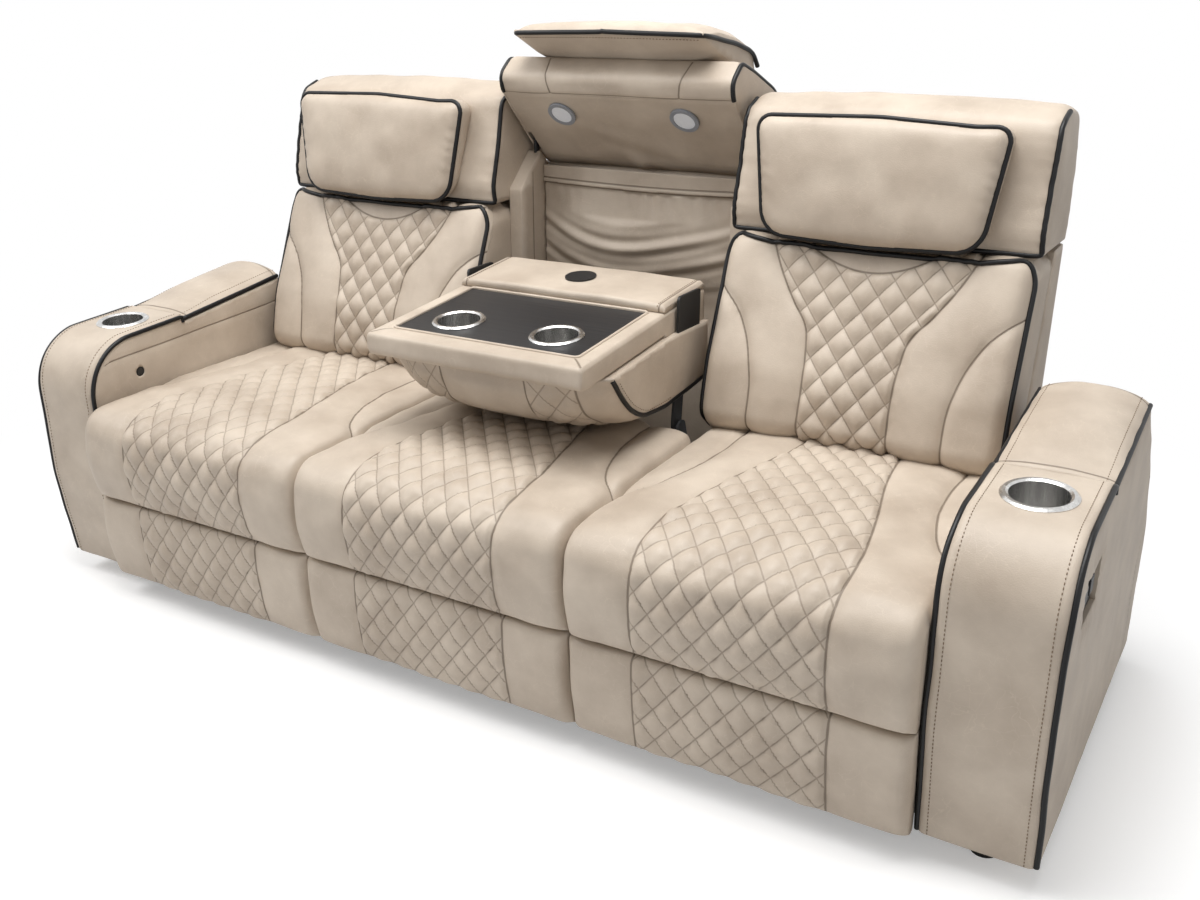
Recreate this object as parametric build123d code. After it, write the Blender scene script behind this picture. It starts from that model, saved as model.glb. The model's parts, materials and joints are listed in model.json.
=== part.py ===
"""Three-seat power reclining sofa with a drop down console in the middle back.

Millimetres. Origin on the floor under the middle of the sofa, +X to the viewer's
right, -Y towards the front, +Z up. The rest pose has the console table down and
the middle head rest turned up, both outer seats upright and closed.
"""
from build123d import *
from math import atan2, cos, degrees, hypot, pi, radians, sin, tan
import os

# ---------------------------------------------------------------- overall
SEAT_PITCH = 600.0          # from seat centre to seat centre
SEAT_GAP = 3.0              # between two neighbouring seat cushions
ARM_GAP = 3.0               # between the outer cushion and the arm
ARM_WIDTH = 180.0
SOFT_GAP = 0.4              # leather against leather, between sewn pieces
FOOT_HEIGHT = 46.0

# ---------------------------------------------------------------- arms
ARM_TOE = -396.0            # front edge at the bottom
ARM_FRONT = -428.0          # foremost line of the rounded front
ARM_REAR = 410.0
ARM_TOP_Z = 561.0           # top line, carried forward to ARM_FRONT
ARM_TOP_SLOPE = 4.55        # degrees, rising to the rear
ARM_NOSE_RADIUS = 118.0
ARM_EDGE = 14.0             # roll of the leather at the piped edges
LID_FRONT = -161.0
LID_LENGTH = 297.0
LID_SEAT_Z = 566.0          # ledge under the lid at its front
LID_SLOPE = 8.6
LID_EDGE = 9.0              # lid thickness at its piped edge
LID_CROWN = 34.0            # lid thickness along its middle
LID_GAP = 1.0
LID_PIN_RADIUS = 3.5
BIN_LENGTH = 250.0
BIN_WIDTH = 128.0
BIN_DEPTH = 165.0
BIN_WALL = 2.5
CUP_Y = -256.0
CUP_RADIUS = 43.5
CUP_RING = 13.0
CUP_DEPTH = 78.0
CUP_WALL = 1.5
CUP_FIT = 0.4
CONTROL_Y = -272.0
CONTROL_Z = 452.0
CONTROL_LENGTH = 107.0
CONTROL_HEIGHT = 74.0
CONTROL_DEPTH = 12.0
BEZEL_THICKNESS = 5.0
PUSH_SIZE = 26.0
PUSH_PITCH = 46.0
PUSH_TRAVEL = 1.5
PUSH_FIT = 0.5
RING_BUTTON_Y = -298.0
RING_BUTTON_Z = 482.0
RING_BUTTON_RADIUS = 7.0
RING_BUTTON_COLLAR = 11.0
RING_BUTTON_DEPTH = 9.0

# ---------------------------------------------------------------- seats
SEAT_FRONT = -459.0
SEAT_LIP_Z = 243.0          # lower edge of the front pad
SEAT_TOP_FRONT = 424.0
SEAT_TOP_REAR = 446.0
SEAT_BASE_Z = 300.0         # underside of the foam
SEAT_REAR = 109.0           # outer seats, in front of the back frames
CENTRE_SEAT_REAR = 22.0     # middle seat, in front of the console pivots
SEAT_CROWN = 7.0
DRAWN_IN = 9.0              # how far a cushion's side seams pull in
QUILT_HALF = 24.0           # half a diamond
QUILT_RISE = 5.0            # height of a diamond over its seams
QUILT_THICKNESS = 26.0
FRONT_PAD_DEPTH = 64.0
SEAT_QUILT_FRONT = SEAT_PITCH / 2 - 135.0   # half width of the quilted part, front
SEAT_QUILT_REAR = 88.0      # half width of the quilted part, rear

# ---------------------------------------------------------------- footrests
PANEL_BOTTOM = 50.0
PANEL_GAP = 4.0             # between the foot panel and the front pad
PANEL_TOE = -424.0
PANEL_TOP_FRONT = -444.0
PANEL_REAR = -398.0
BOARD_THICKNESS = 12.0
PANEL_QUILT = SEAT_PITCH / 2 - 130.0
PANEL_SLAB = 12.0           # thickness of a foot panel's quilting

# ---------------------------------------------------------------- recline mechanism
PLATE_OFFSET = SEAT_PITCH / 2 - 38      # from the seat centre to the middle of a side plate
PLATE_THICKNESS = 4.0
LINK_SPACING = 6.0          # from one link layer to the next
LINK_THICKNESS = 4.0
LINK_WIDTH = 22.0
PIN_RADIUS = 5.0
PIN_FIT = 0.05
DRIVE_PIVOT = (-215.2, 235.3)
DRIVE_LENGTH = 184.1
DRIVE_START = 317.42        # degrees from +Y towards +Z, footrest closed
DRIVE_SWING = -119.29       # turn of the drive links from closed to open
PANEL_PIVOT = (-374.0, 140.0)
CROSS_PIVOT = (-249.5, 236.2)
CROSS_OFFSET = (-40.0, -20.0)   # open pivot, along and across the upper link
TUBE_RADIUS = 12.0
BACK_PIVOT = (164.0, 340.0)
BACK_PIN_RADIUS = 7.0
RAIL_HEIGHT = 40.0
DECK_Z = 262.0              # underside of the rails that carry the seats
DECK_HEIGHT = 34.0
DECK_FRONT = -350.0
DECK_REAR = 66.0
DECK_RAIL = 40.0
REAR_RAIL = (300.0, 340.0)
RAIL_BOTTOM = FOOT_HEIGHT
STUD_RADIUS = 4.0
EYE_RADIUS = 10.0           # wide eye round the stud: the open pivot
CRANK_LENGTH = 50.0
ROD_RADIUS = 7.0
ROD_FIT = 0.3
ROD_LENGTH = 192.0
ROD_OFFSET = 16.0           # push rod beside the crank
ROD_DROP = -12.0
ROD_NOSE = 52.0             # from the crank's tip to the housing, closed
HOUSING_LENGTH = 170.0
FOOT_RADIUS = 22.0
SPRINGS_PER_SEAT = 4
SPRING_PITCH = 120.0
SPRING_BENDS = 11
SPRING_SWING = 22.0
SPRING_WIRE = 3.2

# ---------------------------------------------------------------- outer backs
BACK_CENTRE = SEAT_PITCH - 23.0     # from the middle of the sofa
BACK_WIDTH = SEAT_PITCH - 16.0
BACK_BOTTOM = 452.0
BACK_TOP = 824.0
BACK_FRAME_FRONT = 190.0    # foam meets frame, at the bottom
BACK_FRAME_RISE = 110.0     # how far that line leans back up to the neck
BACK_REAR_BOTTOM = 352.0
BACK_REAR_TOP = 384.0
BACK_CROWN = 16.0
FRAME_HALF = PLATE_OFFSET - 12.0    # half width of the frame below the cushion
HEAD_PIVOT = (230.0, BACK_TOP + 8.0)
HEAD_GAP = 4.0
HEAD_CROWN = 9.0
PILLOW_TOP_HALF = BACK_WIDTH / 2 - 80.0
PILLOW_BOTTOM_HALF = PILLOW_TOP_HALF - 30.0
PILLOW_TOP = (186.0, 1048.0)
PILLOW_BOTTOM = (155.0, 834.0)
PILLOW_BULGE = 30.0
PILLOW_CORNER = 38.0
STRAP_X = (48.0, 80.0)      # head hinge straps, from the back's middle
HEAD_PIN_RADIUS = 3.0
LOWER_FRONT = 122.0         # frame below the cushion
LOWER_BOTTOM = 330.0
BACK_FACE = ((109, 452), (61, 490), (75, 535), (81, 576), (111, 647), (148, 739), (178, 812), (232, 824))
BACK_FACE_RADII = (12, 22, 60, 60, 150, 200, 16, 4)
BACK_STRIP_ENDS = ((64.1, 500.0), (175.0, 805.0))   # lower and upper end of the quilted strip
BACK_STRIP_RADII = (100, 100, 300, 300)
BACK_QUILT = ((463, 87), (576, 86), (627, 89), (681, 103), (711, 128), (776, 172), (816, 192))
HEAD_OUTLINE = ((228, 834, 4), (196, 868, 24), (212.4, 950, 300), (232, 1050, 40), (299, 1080, 90),
                (389, 1062, 50), (406, 960, 200), (398, 834, 10))
HEAD_DRAW = ((0, 0), (-1, 0), (-1, 0), (-1, 1), (0, 1), (1, 1), (1, 0), (1, 0))

# ---------------------------------------------------------------- centre back
CENTRE_HALF = BACK_CENTRE - BACK_WIDTH / 2 - 1.0
POST_INNER = CENTRE_HALF - 30.0
POST_FRONT = 250.0
POST_REAR = 358.0
BOARD_REAR = 370.0
COVER_REAR = 402.0
RECESS_BOTTOM = 300.0
POCKET_FRONT = 347.0            # behind the sweep of the console lid
POCKET_TOP = 893.0
POCKET_FOLD = 6.0
POCKET_FOLDS = 14
POST_DROP = 29.0                # from the head rest hinge down to the post's peak
HEAD_HINGE = (329.0, 965.0)     # pivot of the middle head rest
HINGE_PIN_RADIUS = 5.0
HINGE_NOTCH = 30.0              # free round the hinge ear
CENTRE_HEAD_HALF = CENTRE_HALF - 12.0
CENTRE_HEAD_OUTLINE = ((212, 1066, 8), (203, 1100, 60), (244, 1136, 16), (300, 1119, 200), (404, 1080, 200),
                       (439, 1051, 40), (457, 995, 60), (442, 916, 16), (376, 907, 16), (347, 926, 6))
CENTRE_HEAD_DRAW = ((0, 0), (-1, 0), (0, 1), (0, 1), (0, 1), (1, 1), (1, 0), (1, -1), (0, -1), (0, 0))
CENTRE_PILLOW_OUTLINE = ((176, 1186, 5), (192, 1204, 14), (250, 1206, 60), (330, 1194, 120), (400, 1172, 60),
                         (442, 1124, 24), (434, 1064.6, 8), (404, 1080.4, 200), (300, 1119.4, 200),
                         (247, 1137, 12))
CENTRE_PILLOW_DRAW = ((0, 0), (0, 1), (0, 1), (0, 1), (0, 1), (1, 1), (0, -1), (0, -1), (0, -1), (0, -1))
LIGHT_X = 145.0
LIGHT_Y = 252.5
LIGHT_RADIUS = 31.0
LIGHT_DEPTH = 12.0

# ---------------------------------------------------------------- console
CONSOLE_PIVOT = (42.0, 456.0)
CONSOLE_HALF = POST_INNER - 14.0
TRAY_FRONT = -293.0
TRAY_TOP_Z = 658.0
TRAY_SLOPE = 6.4
TRAY_THICKNESS = 31.0
BOX_FRONT = 6.0
BOX_REAR = 170.0
BOX_BOTTOM_Z = 545.0
BOX_BOTTOM_SLOPE = 5.2
BOX_WALL = 12.0
BOX_FLOOR_Z = 572.0
CONSOLE_LID = 14.0
INLAY_HALF = CONSOLE_HALF - 36.0
INLAY_FRONT = -250.0
INLAY_REAR = -2.0
INLAY_THICKNESS = 3.0
TABLE_CUP_X = 111.0
TABLE_CUP_Y = -172.5
TABLE_CUP_RADIUS = 41.0
TABLE_CUP_RING = 10.8
TABLE_CUP_DEPTH = 72.0
CHARGER_Y = 90.0
CHARGER_RADIUS = 32.0
ARM_PLATE_X = CONSOLE_HALF + 6.0
ARM_PLATE = 5.0
EAR_GAP = 3.0
CONSOLE_PIN_RADIUS = 7.0
CONSOLE_LID_CROWN = 5.0
CONSOLE_ROWS = 14
CONSOLE_COLUMNS = 12
CONSOLE_SIDE = ((-209, 636), (-196, 610), (-183, 589), (-141, 547), (-89, 520), (-10, 518), (110, 530), (170, 534))
CONSOLE_MIDDLE = ((-262, 628), (-258, 600), (-248, 570), (-225, 535), (-133, 497), (20, 480), (170, 498))
CONSOLE_ARM_OUTLINE = ((41, 718, 8), (130, 720, 8), (130, 640, 12), (75, 620, 30), (62, 470, 14),
                       (62, 440, 12), (26, 440, 12), (26, 475, 12), (40, 620, 30))
CONSOLE_SCREWS = ((60, 655), (110, 690))        # bosses between an arm plate and the console
CONSOLE_EAR_OUTLINE = ((28, 456, 12), (42, 472, 12), (60, 470, 12), (110, 330, 12), (110, 296, 2),
                       (70, 296, 2), (70, 320, 10))

# ---------------------------------------------------------------- derived
ARM_INNER = 1.5 * SEAT_PITCH + ARM_GAP
ARM_OUTER = ARM_INNER + ARM_WIDTH
ARM_MIDDLE = ARM_INNER + ARM_WIDTH / 2
CUSHION_HALF = (SEAT_PITCH - SEAT_GAP) / 2
LID_REAR = LID_FRONT + LID_LENGTH
SEAT_CENTRES = {"left": -SEAT_PITCH, "centre": 0.0, "right": SEAT_PITCH}
SIDES = {"left": -1, "right": 1}

parts = {}


# ================================================================ helpers
def side_plane(x):
    """Plane across the sofa at x: its own axes are the sofa's Y and Z."""
    return Plane.YZ.offset(x)


def rounded_loop(plane, corners):
    """Closed wire through (a, b, radius) corners, each corner a tangent arc."""
    edges = []
    joints = []
    for index, (a, b, radius) in enumerate(corners):
        before = corners[index - 1]
        after = corners[(index + 1) % len(corners)]
        back = (before[0] - a, before[1] - b)
        ahead = (after[0] - a, after[1] - b)
        back_length = hypot(*back)
        ahead_length = hypot(*ahead)
        back = (back[0] / back_length, back[1] / back_length)
        ahead = (ahead[0] / ahead_length, ahead[1] / ahead_length)
        half = atan2(abs(back[0] * ahead[1] - back[1] * ahead[0]),
                     back[0] * ahead[0] + back[1] * ahead[1]) / 2
        cut = min(radius / tan(half), 0.45 * back_length, 0.45 * ahead_length)
        bow = cut * tan(half)
        middle = (back[0] + ahead[0], back[1] + ahead[1])
        span = hypot(*middle)
        reach = bow / sin(half) - bow
        first = (a + back[0] * cut, b + back[1] * cut)
        mid = (a + middle[0] / span * reach, b + middle[1] / span * reach)
        last = (a + ahead[0] * cut, b + ahead[1] * cut)
        joints.append((first, mid, last))
    for index, (first, mid, last) in enumerate(joints):
        start = joints[(index + 1) % len(joints)][0]
        first, mid, last, start = [plane.from_local_coords((*p, 0)) for p in (first, mid, last, start)]
        edges.append(Edge.make_three_point_arc(first, mid, last))
        edges.append(Edge.make_line(last, start))
    return Wire(edges)


def bar(corners, x_low, x_high):
    """Solid with one rounded side outline, straight across from x_low to x_high."""
    wires = [rounded_loop(side_plane(x), corners) for x in (x_low, x_high)]
    return Solid.make_loft(wires, ruled=True)


def soft_body(corners, stations):
    """Upholstered body: each (y, z, radius, dy, dz) corner grows along (dy, dz)
    by the growth of each (x, growth) station."""
    wires = []
    for x, growth in stations:
        grown = [(y + dy * growth, z + dz * growth, r) for y, z, r, dy, dz in corners]
        wires.append(rounded_loop(side_plane(x), grown))
    return Solid.make_loft(wires, ruled=True)


def crown_stations(half_width, crown, drawn, centre=0.0):
    """Stations of a cushion that swells to its crown and draws in at its seams."""
    shares = ((0.0, 0.85), (0.55, 0.95), (0.8, 1.0), (0.93, 0.55), (0.985, -0.3), (1.0, -1.0))
    right = [(s * half_width, crown * g if g > 0 else -drawn * -g) for s, g in shares]
    left = [(-x, g) for x, g in reversed(right[1:])]
    return [(centre + x, g) for x, g in left + right]


def flat_face(points):
    return Face(Wire.make_polygon([Vector(*p) for p in points], close=True))


def grid_solid(front, back, flat_sides=False):
    """Solid between a front grid of points and a back strip of point pairs.

    front[j][i] runs across the piece in i. back[j] is the left and right point
    behind row j. Every front cell is cut along the seam diagonal.
    """
    faces = []
    rows = len(front) - 1
    columns = len(front[0]) - 1
    for j in range(rows):
        for i in range(columns):
            a, b = front[j][i], front[j][i + 1]
            c, d = front[j + 1][i + 1], front[j + 1][i]
            if (i + j) % 2:
                faces += [flat_face((a, b, d)), flat_face((b, c, d))]
            else:
                faces += [flat_face((a, b, c)), flat_face((a, c, d))]
        left_back, right_back = back[j]
        left_next, right_next = back[j + 1]
        faces.append(flat_face((left_back, right_back, right_next, left_next)))
        if not flat_sides:
            for near, far, near_next, far_next in (
                (front[j][0], left_back, front[j + 1][0], left_next),
                (front[j][-1], right_back, front[j + 1][-1], right_next),
            ):
                faces += [flat_face((near, far, far_next)), flat_face((near, far_next, near_next))]
    if flat_sides:
        for side, end in ((0, 0), (-1, 1)):
            outline = [row[side] for row in front] + [pair[end] for pair in reversed(back)]
            faces.append(flat_face(outline))
    faces.append(flat_face([*front[0], back[0][1], back[0][0]]))
    faces.append(flat_face([*front[-1], back[-1][1], back[-1][0]]))
    solid = Solid(Shell(faces))
    return solid if solid.volume > 0 else -solid


def table(pairs, value):
    """Straight line interpolation in (value, result) pairs."""
    if value <= pairs[0][0]:
        return pairs[0][1]
    for (low, first), (high, second) in zip(pairs, pairs[1:]):
        if value <= high:
            return first + (second - first) * (value - low) / (high - low)
    return pairs[-1][1]


def follow(path, count):
    """count + 1 places along a path in the side plane: (share, y, z, ny, nz),
    with the normal on the left of the direction of travel."""
    places = []
    for step in range(count + 1):
        share = step / count
        point = path.position_at(share)
        run = path.tangent_at(share)
        places.append((share, point.X, point.Y, -run.Y, run.X))
    return places


def quilted_slab(path, half_width, centre=0.0, thickness=QUILT_THICKNESS):
    """Diamond quilted slab on a path, half_width(share) wide on each side.

    The normal points out of the leather. Seam crossings lie on the path, the
    middle of each diamond stands QUILT_RISE proud of them."""
    rows = max(2, round(path.length / QUILT_HALF))
    columns = 2 * max(1, round(half_width(0.0) / QUILT_HALF))
    front = []
    back = []
    for j, (share, y, z, ny, nz) in enumerate(follow(path, rows)):
        width = half_width(share) - SOFT_GAP
        row = []
        for i in range(columns + 1):
            edge = i in (0, columns) or j in (0, rows)
            rise = QUILT_RISE if (i + j) % 2 and not edge else 0.0
            x = centre - width + 2 * width * i / columns
            row.append((x, y + ny * rise, z + nz * rise))
        front.append(row)
        deep = (y - ny * thickness, z - nz * thickness)
        back.append(((centre - width, *deep), (centre + width, *deep)))
    return grid_solid(front, back)


def path_cutter(path, left, right, depth, proud, rows, centre=0.0):
    """Plain slab along a path between x = left(share) and right(share)."""
    front = []
    back = []
    for share, y, z, ny, nz in follow(path, rows):
        low = centre + left(share)
        high = centre + right(share)
        front.append([(low, y + ny * proud, z + nz * proud), (high, y + ny * proud, z + nz * proud)])
        back.append(((low, y - ny * depth, z - nz * depth), (high, y - ny * depth, z - nz * depth)))
    return grid_solid(front, back)


def open_path(points, radii):
    """Open path through (y, z) points with rounded corners."""
    return FilletPolyline(*points, radius=radii)


def cylinder_x(radius, x_low, x_high, centre):
    """Round bar along X at a (y, z) centre."""
    plane = Plane(origin=(x_low, *centre), x_dir=(0, 1, 0), z_dir=(1, 0, 0))
    return Solid.make_cylinder(radius, x_high - x_low, plane)


def mirrored(shape):
    return shape.mirror(Plane.YZ)


def turned(point, pivot, angle):
    """A (y, z) point turned about a pivot, in degrees from +Y towards +Z."""
    y, z = point[0] - pivot[0], point[1] - pivot[1]
    c, s = cos(radians(angle)), sin(radians(angle))
    return (pivot[0] + y * c - z * s, pivot[1] + y * s + z * c)


# ================================================================ seats
def seat_corners(rear):
    """Side outline of a seat cushion: waterfall front pad and a long top."""
    pad_rear = SEAT_FRONT + FRONT_PAD_DEPTH
    relief = SEAT_LIP_Z + 19
    return [
        (SEAT_FRONT + 16, SEAT_LIP_Z, 10, -1, 0),
        (SEAT_FRONT, 335, 250, -1, 0),
        (SEAT_FRONT + 7, SEAT_TOP_FRONT, 45, -1, 1),
        (-300, SEAT_TOP_FRONT + 6, 300, 0, 1),
        (rear, SEAT_TOP_REAR, 20, 0, 1),
        (rear, SEAT_BASE_Z, 10, 0, 0),
        (pad_rear, SEAT_BASE_Z, 5, 0, 0),
        (pad_rear, relief, 4, 0, 0),
        (SEAT_FRONT + 29, SEAT_LIP_Z, 4, 0, 0),
    ]


def seat_path(rear):
    """Line of the quilted strip: up the front, over the lip, to the rear."""
    corners = seat_corners(rear)[:5]
    points = [corner[:2] for corner in corners]
    points[0] = (points[0][0] - 1, points[0][1] + 4)
    points[-1] = (points[-1][0] - 30, points[-1][1] - 0.4)
    return open_path(points, [corner[2] for corner in corners[1:4]])


def seat_quilt_half(share):
    """Half width of the seat quilting, which narrows towards the back."""
    return table([(0.0, SEAT_QUILT_FRONT), (0.45, SEAT_QUILT_FRONT), (0.65, SEAT_QUILT_FRONT * 0.78),
                  (1.0, SEAT_QUILT_REAR)], share)


def quilted_cushion(corners, stations, path, half_width, centre, thickness=QUILT_THICKNESS):
    """Crowned body with a quilted slab sewn into its face."""
    body = soft_body(corners, stations)
    rows = max(8, round(path.length / 30))
    trough = path_cutter(path, lambda s: -half_width(s), half_width,
                         thickness + SOFT_GAP, 30, rows, centre)
    slab = quilted_slab(path, half_width, centre, thickness)
    return [*(body - trough).solids(), slab]


def seat_cushion(centre, rear):
    stations = crown_stations(CUSHION_HALF, SEAT_CROWN, DRAWN_IN, centre)
    return quilted_cushion(seat_corners(rear), stations, seat_path(rear), seat_quilt_half, centre)


def seat_cushions():
    for name, centre in SEAT_CENTRES.items():
        rear = CENTRE_SEAT_REAR if name == "centre" else SEAT_REAR
        parts[f"{name}_seat_cushion"] = seat_cushion(centre, rear)


# ================================================================ foot panels
def panel_top():
    return SEAT_LIP_Z - PANEL_GAP


def panel_pad(centre):
    """Quilted pad of a foot panel, crowned to the front."""
    top = panel_top()
    corners = [
        (PANEL_TOE, PANEL_BOTTOM, 12, -1, 0),
        (PANEL_TOP_FRONT, top, 12, -1, 0),
        (PANEL_REAR, top, 4, 0, 0),
        (PANEL_REAR, PANEL_BOTTOM, 4, 0, 0),
    ]
    lean = (PANEL_TOP_FRONT - PANEL_TOE) / (top - PANEL_BOTTOM)
    path = Line(*[(PANEL_TOE - 1 + lean * (z - PANEL_BOTTOM), z) for z in (PANEL_BOTTOM + 12, top - 12)])
    stations = crown_stations(CUSHION_HALF, SEAT_CROWN * 0.6, DRAWN_IN * 0.6, centre)
    return quilted_cushion(corners, stations, path, lambda share: PANEL_QUILT, centre, PANEL_SLAB)


def panel_board(centre):
    """Board behind the pad, with a lug for each upper link."""
    front = PANEL_REAR + SOFT_GAP
    rear = front + BOARD_THICKNESS
    half = CUSHION_HALF - 12
    board = bar([(front, PANEL_BOTTOM + 6, 1), (front, panel_top() - 8, 1),
                 (rear, panel_top() - 8, 1), (rear, PANEL_BOTTOM + 6, 1)], centre - half, centre + half)
    lug_height = 24
    for sign in (-1, 1):
        x = centre + sign * layer_offset(DRIVE_LAYER)
        low, high = x - LINK_THICKNESS / 2, x + LINK_THICKNESS / 2
        y, z = PANEL_PIVOT
        lug = bar([(rear - 1, z - lug_height, 1), (rear - 1, z + lug_height, 1),
                   (y + 11, z + 11, 10), (y + 11, z - 11, 10)], low, high)
        board = board + lug
        board = board + layer_pin(centre, sign, PANEL_PIVOT, DRIVE_LAYER, UPPER_LAYER)
    return board


def centre_front_panel():
    """Middle foot panel: the same pad on a board that is screwed to the base."""
    front = PANEL_REAR + SOFT_GAP
    rear = front + BOARD_THICKNESS
    half = CUSHION_HALF - 12
    board = bar([(front, PANEL_BOTTOM + 6, 1), (front, panel_top() - 8, 1),
                 (rear, panel_top() - 8, 1), (rear, PANEL_BOTTOM + 6, 1)], -half, half)
    rail_inner = PLATE_OFFSET + PLATE_THICKNESS / 2
    for sign in (-1, 1):
        bracket = box(sorted((sign * (rail_inner + 2), sign * (half - 2))), (rear - 1, DECK_FRONT),
                      (RAIL_BOTTOM + 14, RAIL_BOTTOM + RAIL_HEIGHT - 4))
        board = board + bracket
    return [*panel_pad(0.0), *as_solids(board)]


# ================================================================ recline mechanism
CROSS_LAYER, DRIVE_LAYER, UPPER_LAYER = 0, 1, 2     # counted inwards from the side plate


def layer_pin(centre, sign, point, outer_layer, inner_layer, radius=PIN_RADIUS):
    """Pin through every layer from one to the other."""
    outer = layer_offset(outer_layer) + LINK_THICKNESS / 2
    inner = layer_offset(inner_layer) - LINK_THICKNESS / 2
    return cross_pin(centre, sign, outer, inner, point, radius)


def flat_link(centre, sign, layer, start, end, holes):
    """Steel strip with round ends between two (y, z) pivots."""
    x = centre + sign * layer_offset(layer)
    low, high = x - LINK_THICKNESS / 2, x + LINK_THICKNESS / 2
    run = (end[0] - start[0], end[1] - start[1])
    length = hypot(*run)
    ny, nz = -run[1] / length * LINK_WIDTH / 2, run[0] / length * LINK_WIDTH / 2
    strip = Solid.extrude(flat_face([
        (low, start[0] + ny, start[1] + nz), (low, end[0] + ny, end[1] + nz),
        (low, end[0] - ny, end[1] - nz), (low, start[0] - ny, start[1] - nz)]), Vector(high - low, 0, 0))
    link = strip
    for point in (start, end):
        link = link + cylinder_x(LINK_WIDTH / 2, low, high, point)
    for point in holes:
        link = link - cylinder_x(PIN_RADIUS + PIN_FIT, low - 1, high + 1, point)
    return link


def cross_pin(centre, sign, outer, inner, point, radius=PIN_RADIUS):
    """Pin along X between two distances from the seat centre."""
    low, high = sorted((centre + sign * outer, centre + sign * inner))
    return cylinder_x(radius, low, high, point)


def layer_offset(layer):
    """Distance of a link layer's middle from the seat centre."""
    return PLATE_OFFSET - LINK_SPACING * (layer + 1)


def elbow():
    """Pivot between the drive link and the upper link, footrest closed."""
    angle = radians(DRIVE_START)
    return (DRIVE_PIVOT[0] + DRIVE_LENGTH * cos(angle), DRIVE_PIVOT[1] + DRIVE_LENGTH * sin(angle))


def cross_end():
    """Free end of the cross link, beside the upper link."""
    knee = elbow()
    run = (knee[0] - PANEL_PIVOT[0], knee[1] - PANEL_PIVOT[1])
    length = hypot(*run)
    along = (run[0] / length, run[1] / length)
    across = (-along[1], along[0])
    return tuple(knee[k] + along[k] * CROSS_OFFSET[0] + across[k] * CROSS_OFFSET[1] for k in (0, 1))


def both_sides(centre, build):
    """Solids of a piece that a seat has on its left and its right side."""
    return [solid for sign in (-1, 1) for solid in as_solids(build(centre, sign))]


def as_solids(shape):
    return list(shape.solids()) if hasattr(shape, "solids") else list(shape)


def drive_links(centre):
    """The two drive links on their cross tube, with the crank that the actuator pushes."""
    link_inner = layer_offset(DRIVE_LAYER) - LINK_THICKNESS / 2
    tube = cylinder_x(TUBE_RADIUS, centre - link_inner, centre + link_inner, DRIVE_PIVOT)
    assembly = tube
    for sign in (-1, 1):
        assembly = assembly + flat_link(centre, sign, DRIVE_LAYER, DRIVE_PIVOT, elbow(), [DRIVE_PIVOT, elbow()])
    tip = crank_tip()
    crank = bar([
        (DRIVE_PIVOT[0] - 8, DRIVE_PIVOT[1] + 2, 2), (tip[0] - 2, tip[1] + 9, 5),
        (tip[0] + 7, tip[1] - 7, 5), (DRIVE_PIVOT[0] - 2, DRIVE_PIVOT[1] - 11, 2)], centre - 3, centre + 3)
    return assembly + crank


def crank_tip():
    """End of the crank, footrest closed: it swings evenly about straight down."""
    angle = radians(270 - DRIVE_SWING / 2)
    return (DRIVE_PIVOT[0] + CRANK_LENGTH * cos(angle), DRIVE_PIVOT[1] + CRANK_LENGTH * sin(angle))


def upper_link(centre, sign):
    """Upper link with its elbow pin and the stud beside the cross link."""
    link = flat_link(centre, sign, UPPER_LAYER, elbow(), PANEL_PIVOT, [PANEL_PIVOT])
    link = link + layer_pin(centre, sign, elbow(), DRIVE_LAYER, UPPER_LAYER)
    link = link + layer_pin(centre, sign, cross_end(), CROSS_LAYER, UPPER_LAYER, STUD_RADIUS)
    inner = layer_offset(UPPER_LAYER) - LINK_THICKNESS / 2
    pad = cross_pin(centre, sign, inner + LINK_THICKNESS, inner, cross_end(), STUD_RADIUS + 7)
    return link + pad


def cross_link(centre, sign):
    """Link beside the drive link; its free end has a wide eye round the upper link's stud."""
    link = flat_link(centre, sign, CROSS_LAYER, CROSS_PIVOT, cross_end(), [CROSS_PIVOT])
    outer = layer_offset(CROSS_LAYER) + LINK_THICKNESS / 2
    eye = cross_pin(centre, sign, outer, outer - LINK_THICKNESS, cross_end(), EYE_RADIUS + 5)
    hole = cross_pin(centre, sign, outer + 1, outer - LINK_THICKNESS - 1, cross_end(), EYE_RADIUS)
    return link + eye - hole


def side_plate(centre, sign):
    """Fixed steel plate that carries one side of a seat's mechanism."""
    half = PLATE_THICKNESS / 2
    x = centre + sign * PLATE_OFFSET
    outline = [
        (DECK_FRONT, DECK_Z, 4), (DECK_FRONT, DECK_Z - 52, 8), (-240, 205, 20), (-60, RAIL_BOTTOM + 34, 30),
        (-60, RAIL_BOTTOM, 4), (REAR_RAIL[0], RAIL_BOTTOM, 4), (REAR_RAIL[0], 120, 20),
        (BACK_PIVOT[0] + 26, BACK_PIVOT[1] - 60, 30), (BACK_PIVOT[0] + 20, BACK_PIVOT[1] + 22, 18),
        (BACK_PIVOT[0] - 22, BACK_PIVOT[1] + 22, 18), (BACK_PIVOT[0] - 34, DECK_Z, 12),
    ]
    plate = bar(outline, x - half, x + half)
    reach = PLATE_OFFSET + half
    drive_inner = layer_offset(DRIVE_LAYER) - LINK_THICKNESS / 2 + 1
    cross_inner = layer_offset(CROSS_LAYER) - LINK_THICKNESS / 2
    plate = plate + cross_pin(centre, sign, reach, drive_inner, DRIVE_PIVOT)
    plate = plate + cross_pin(centre, sign, reach, cross_inner, CROSS_PIVOT)
    return plate + cross_pin(centre, sign, reach, FRAME_HALF - 10, BACK_PIVOT, BACK_PIN_RADIUS)


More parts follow.
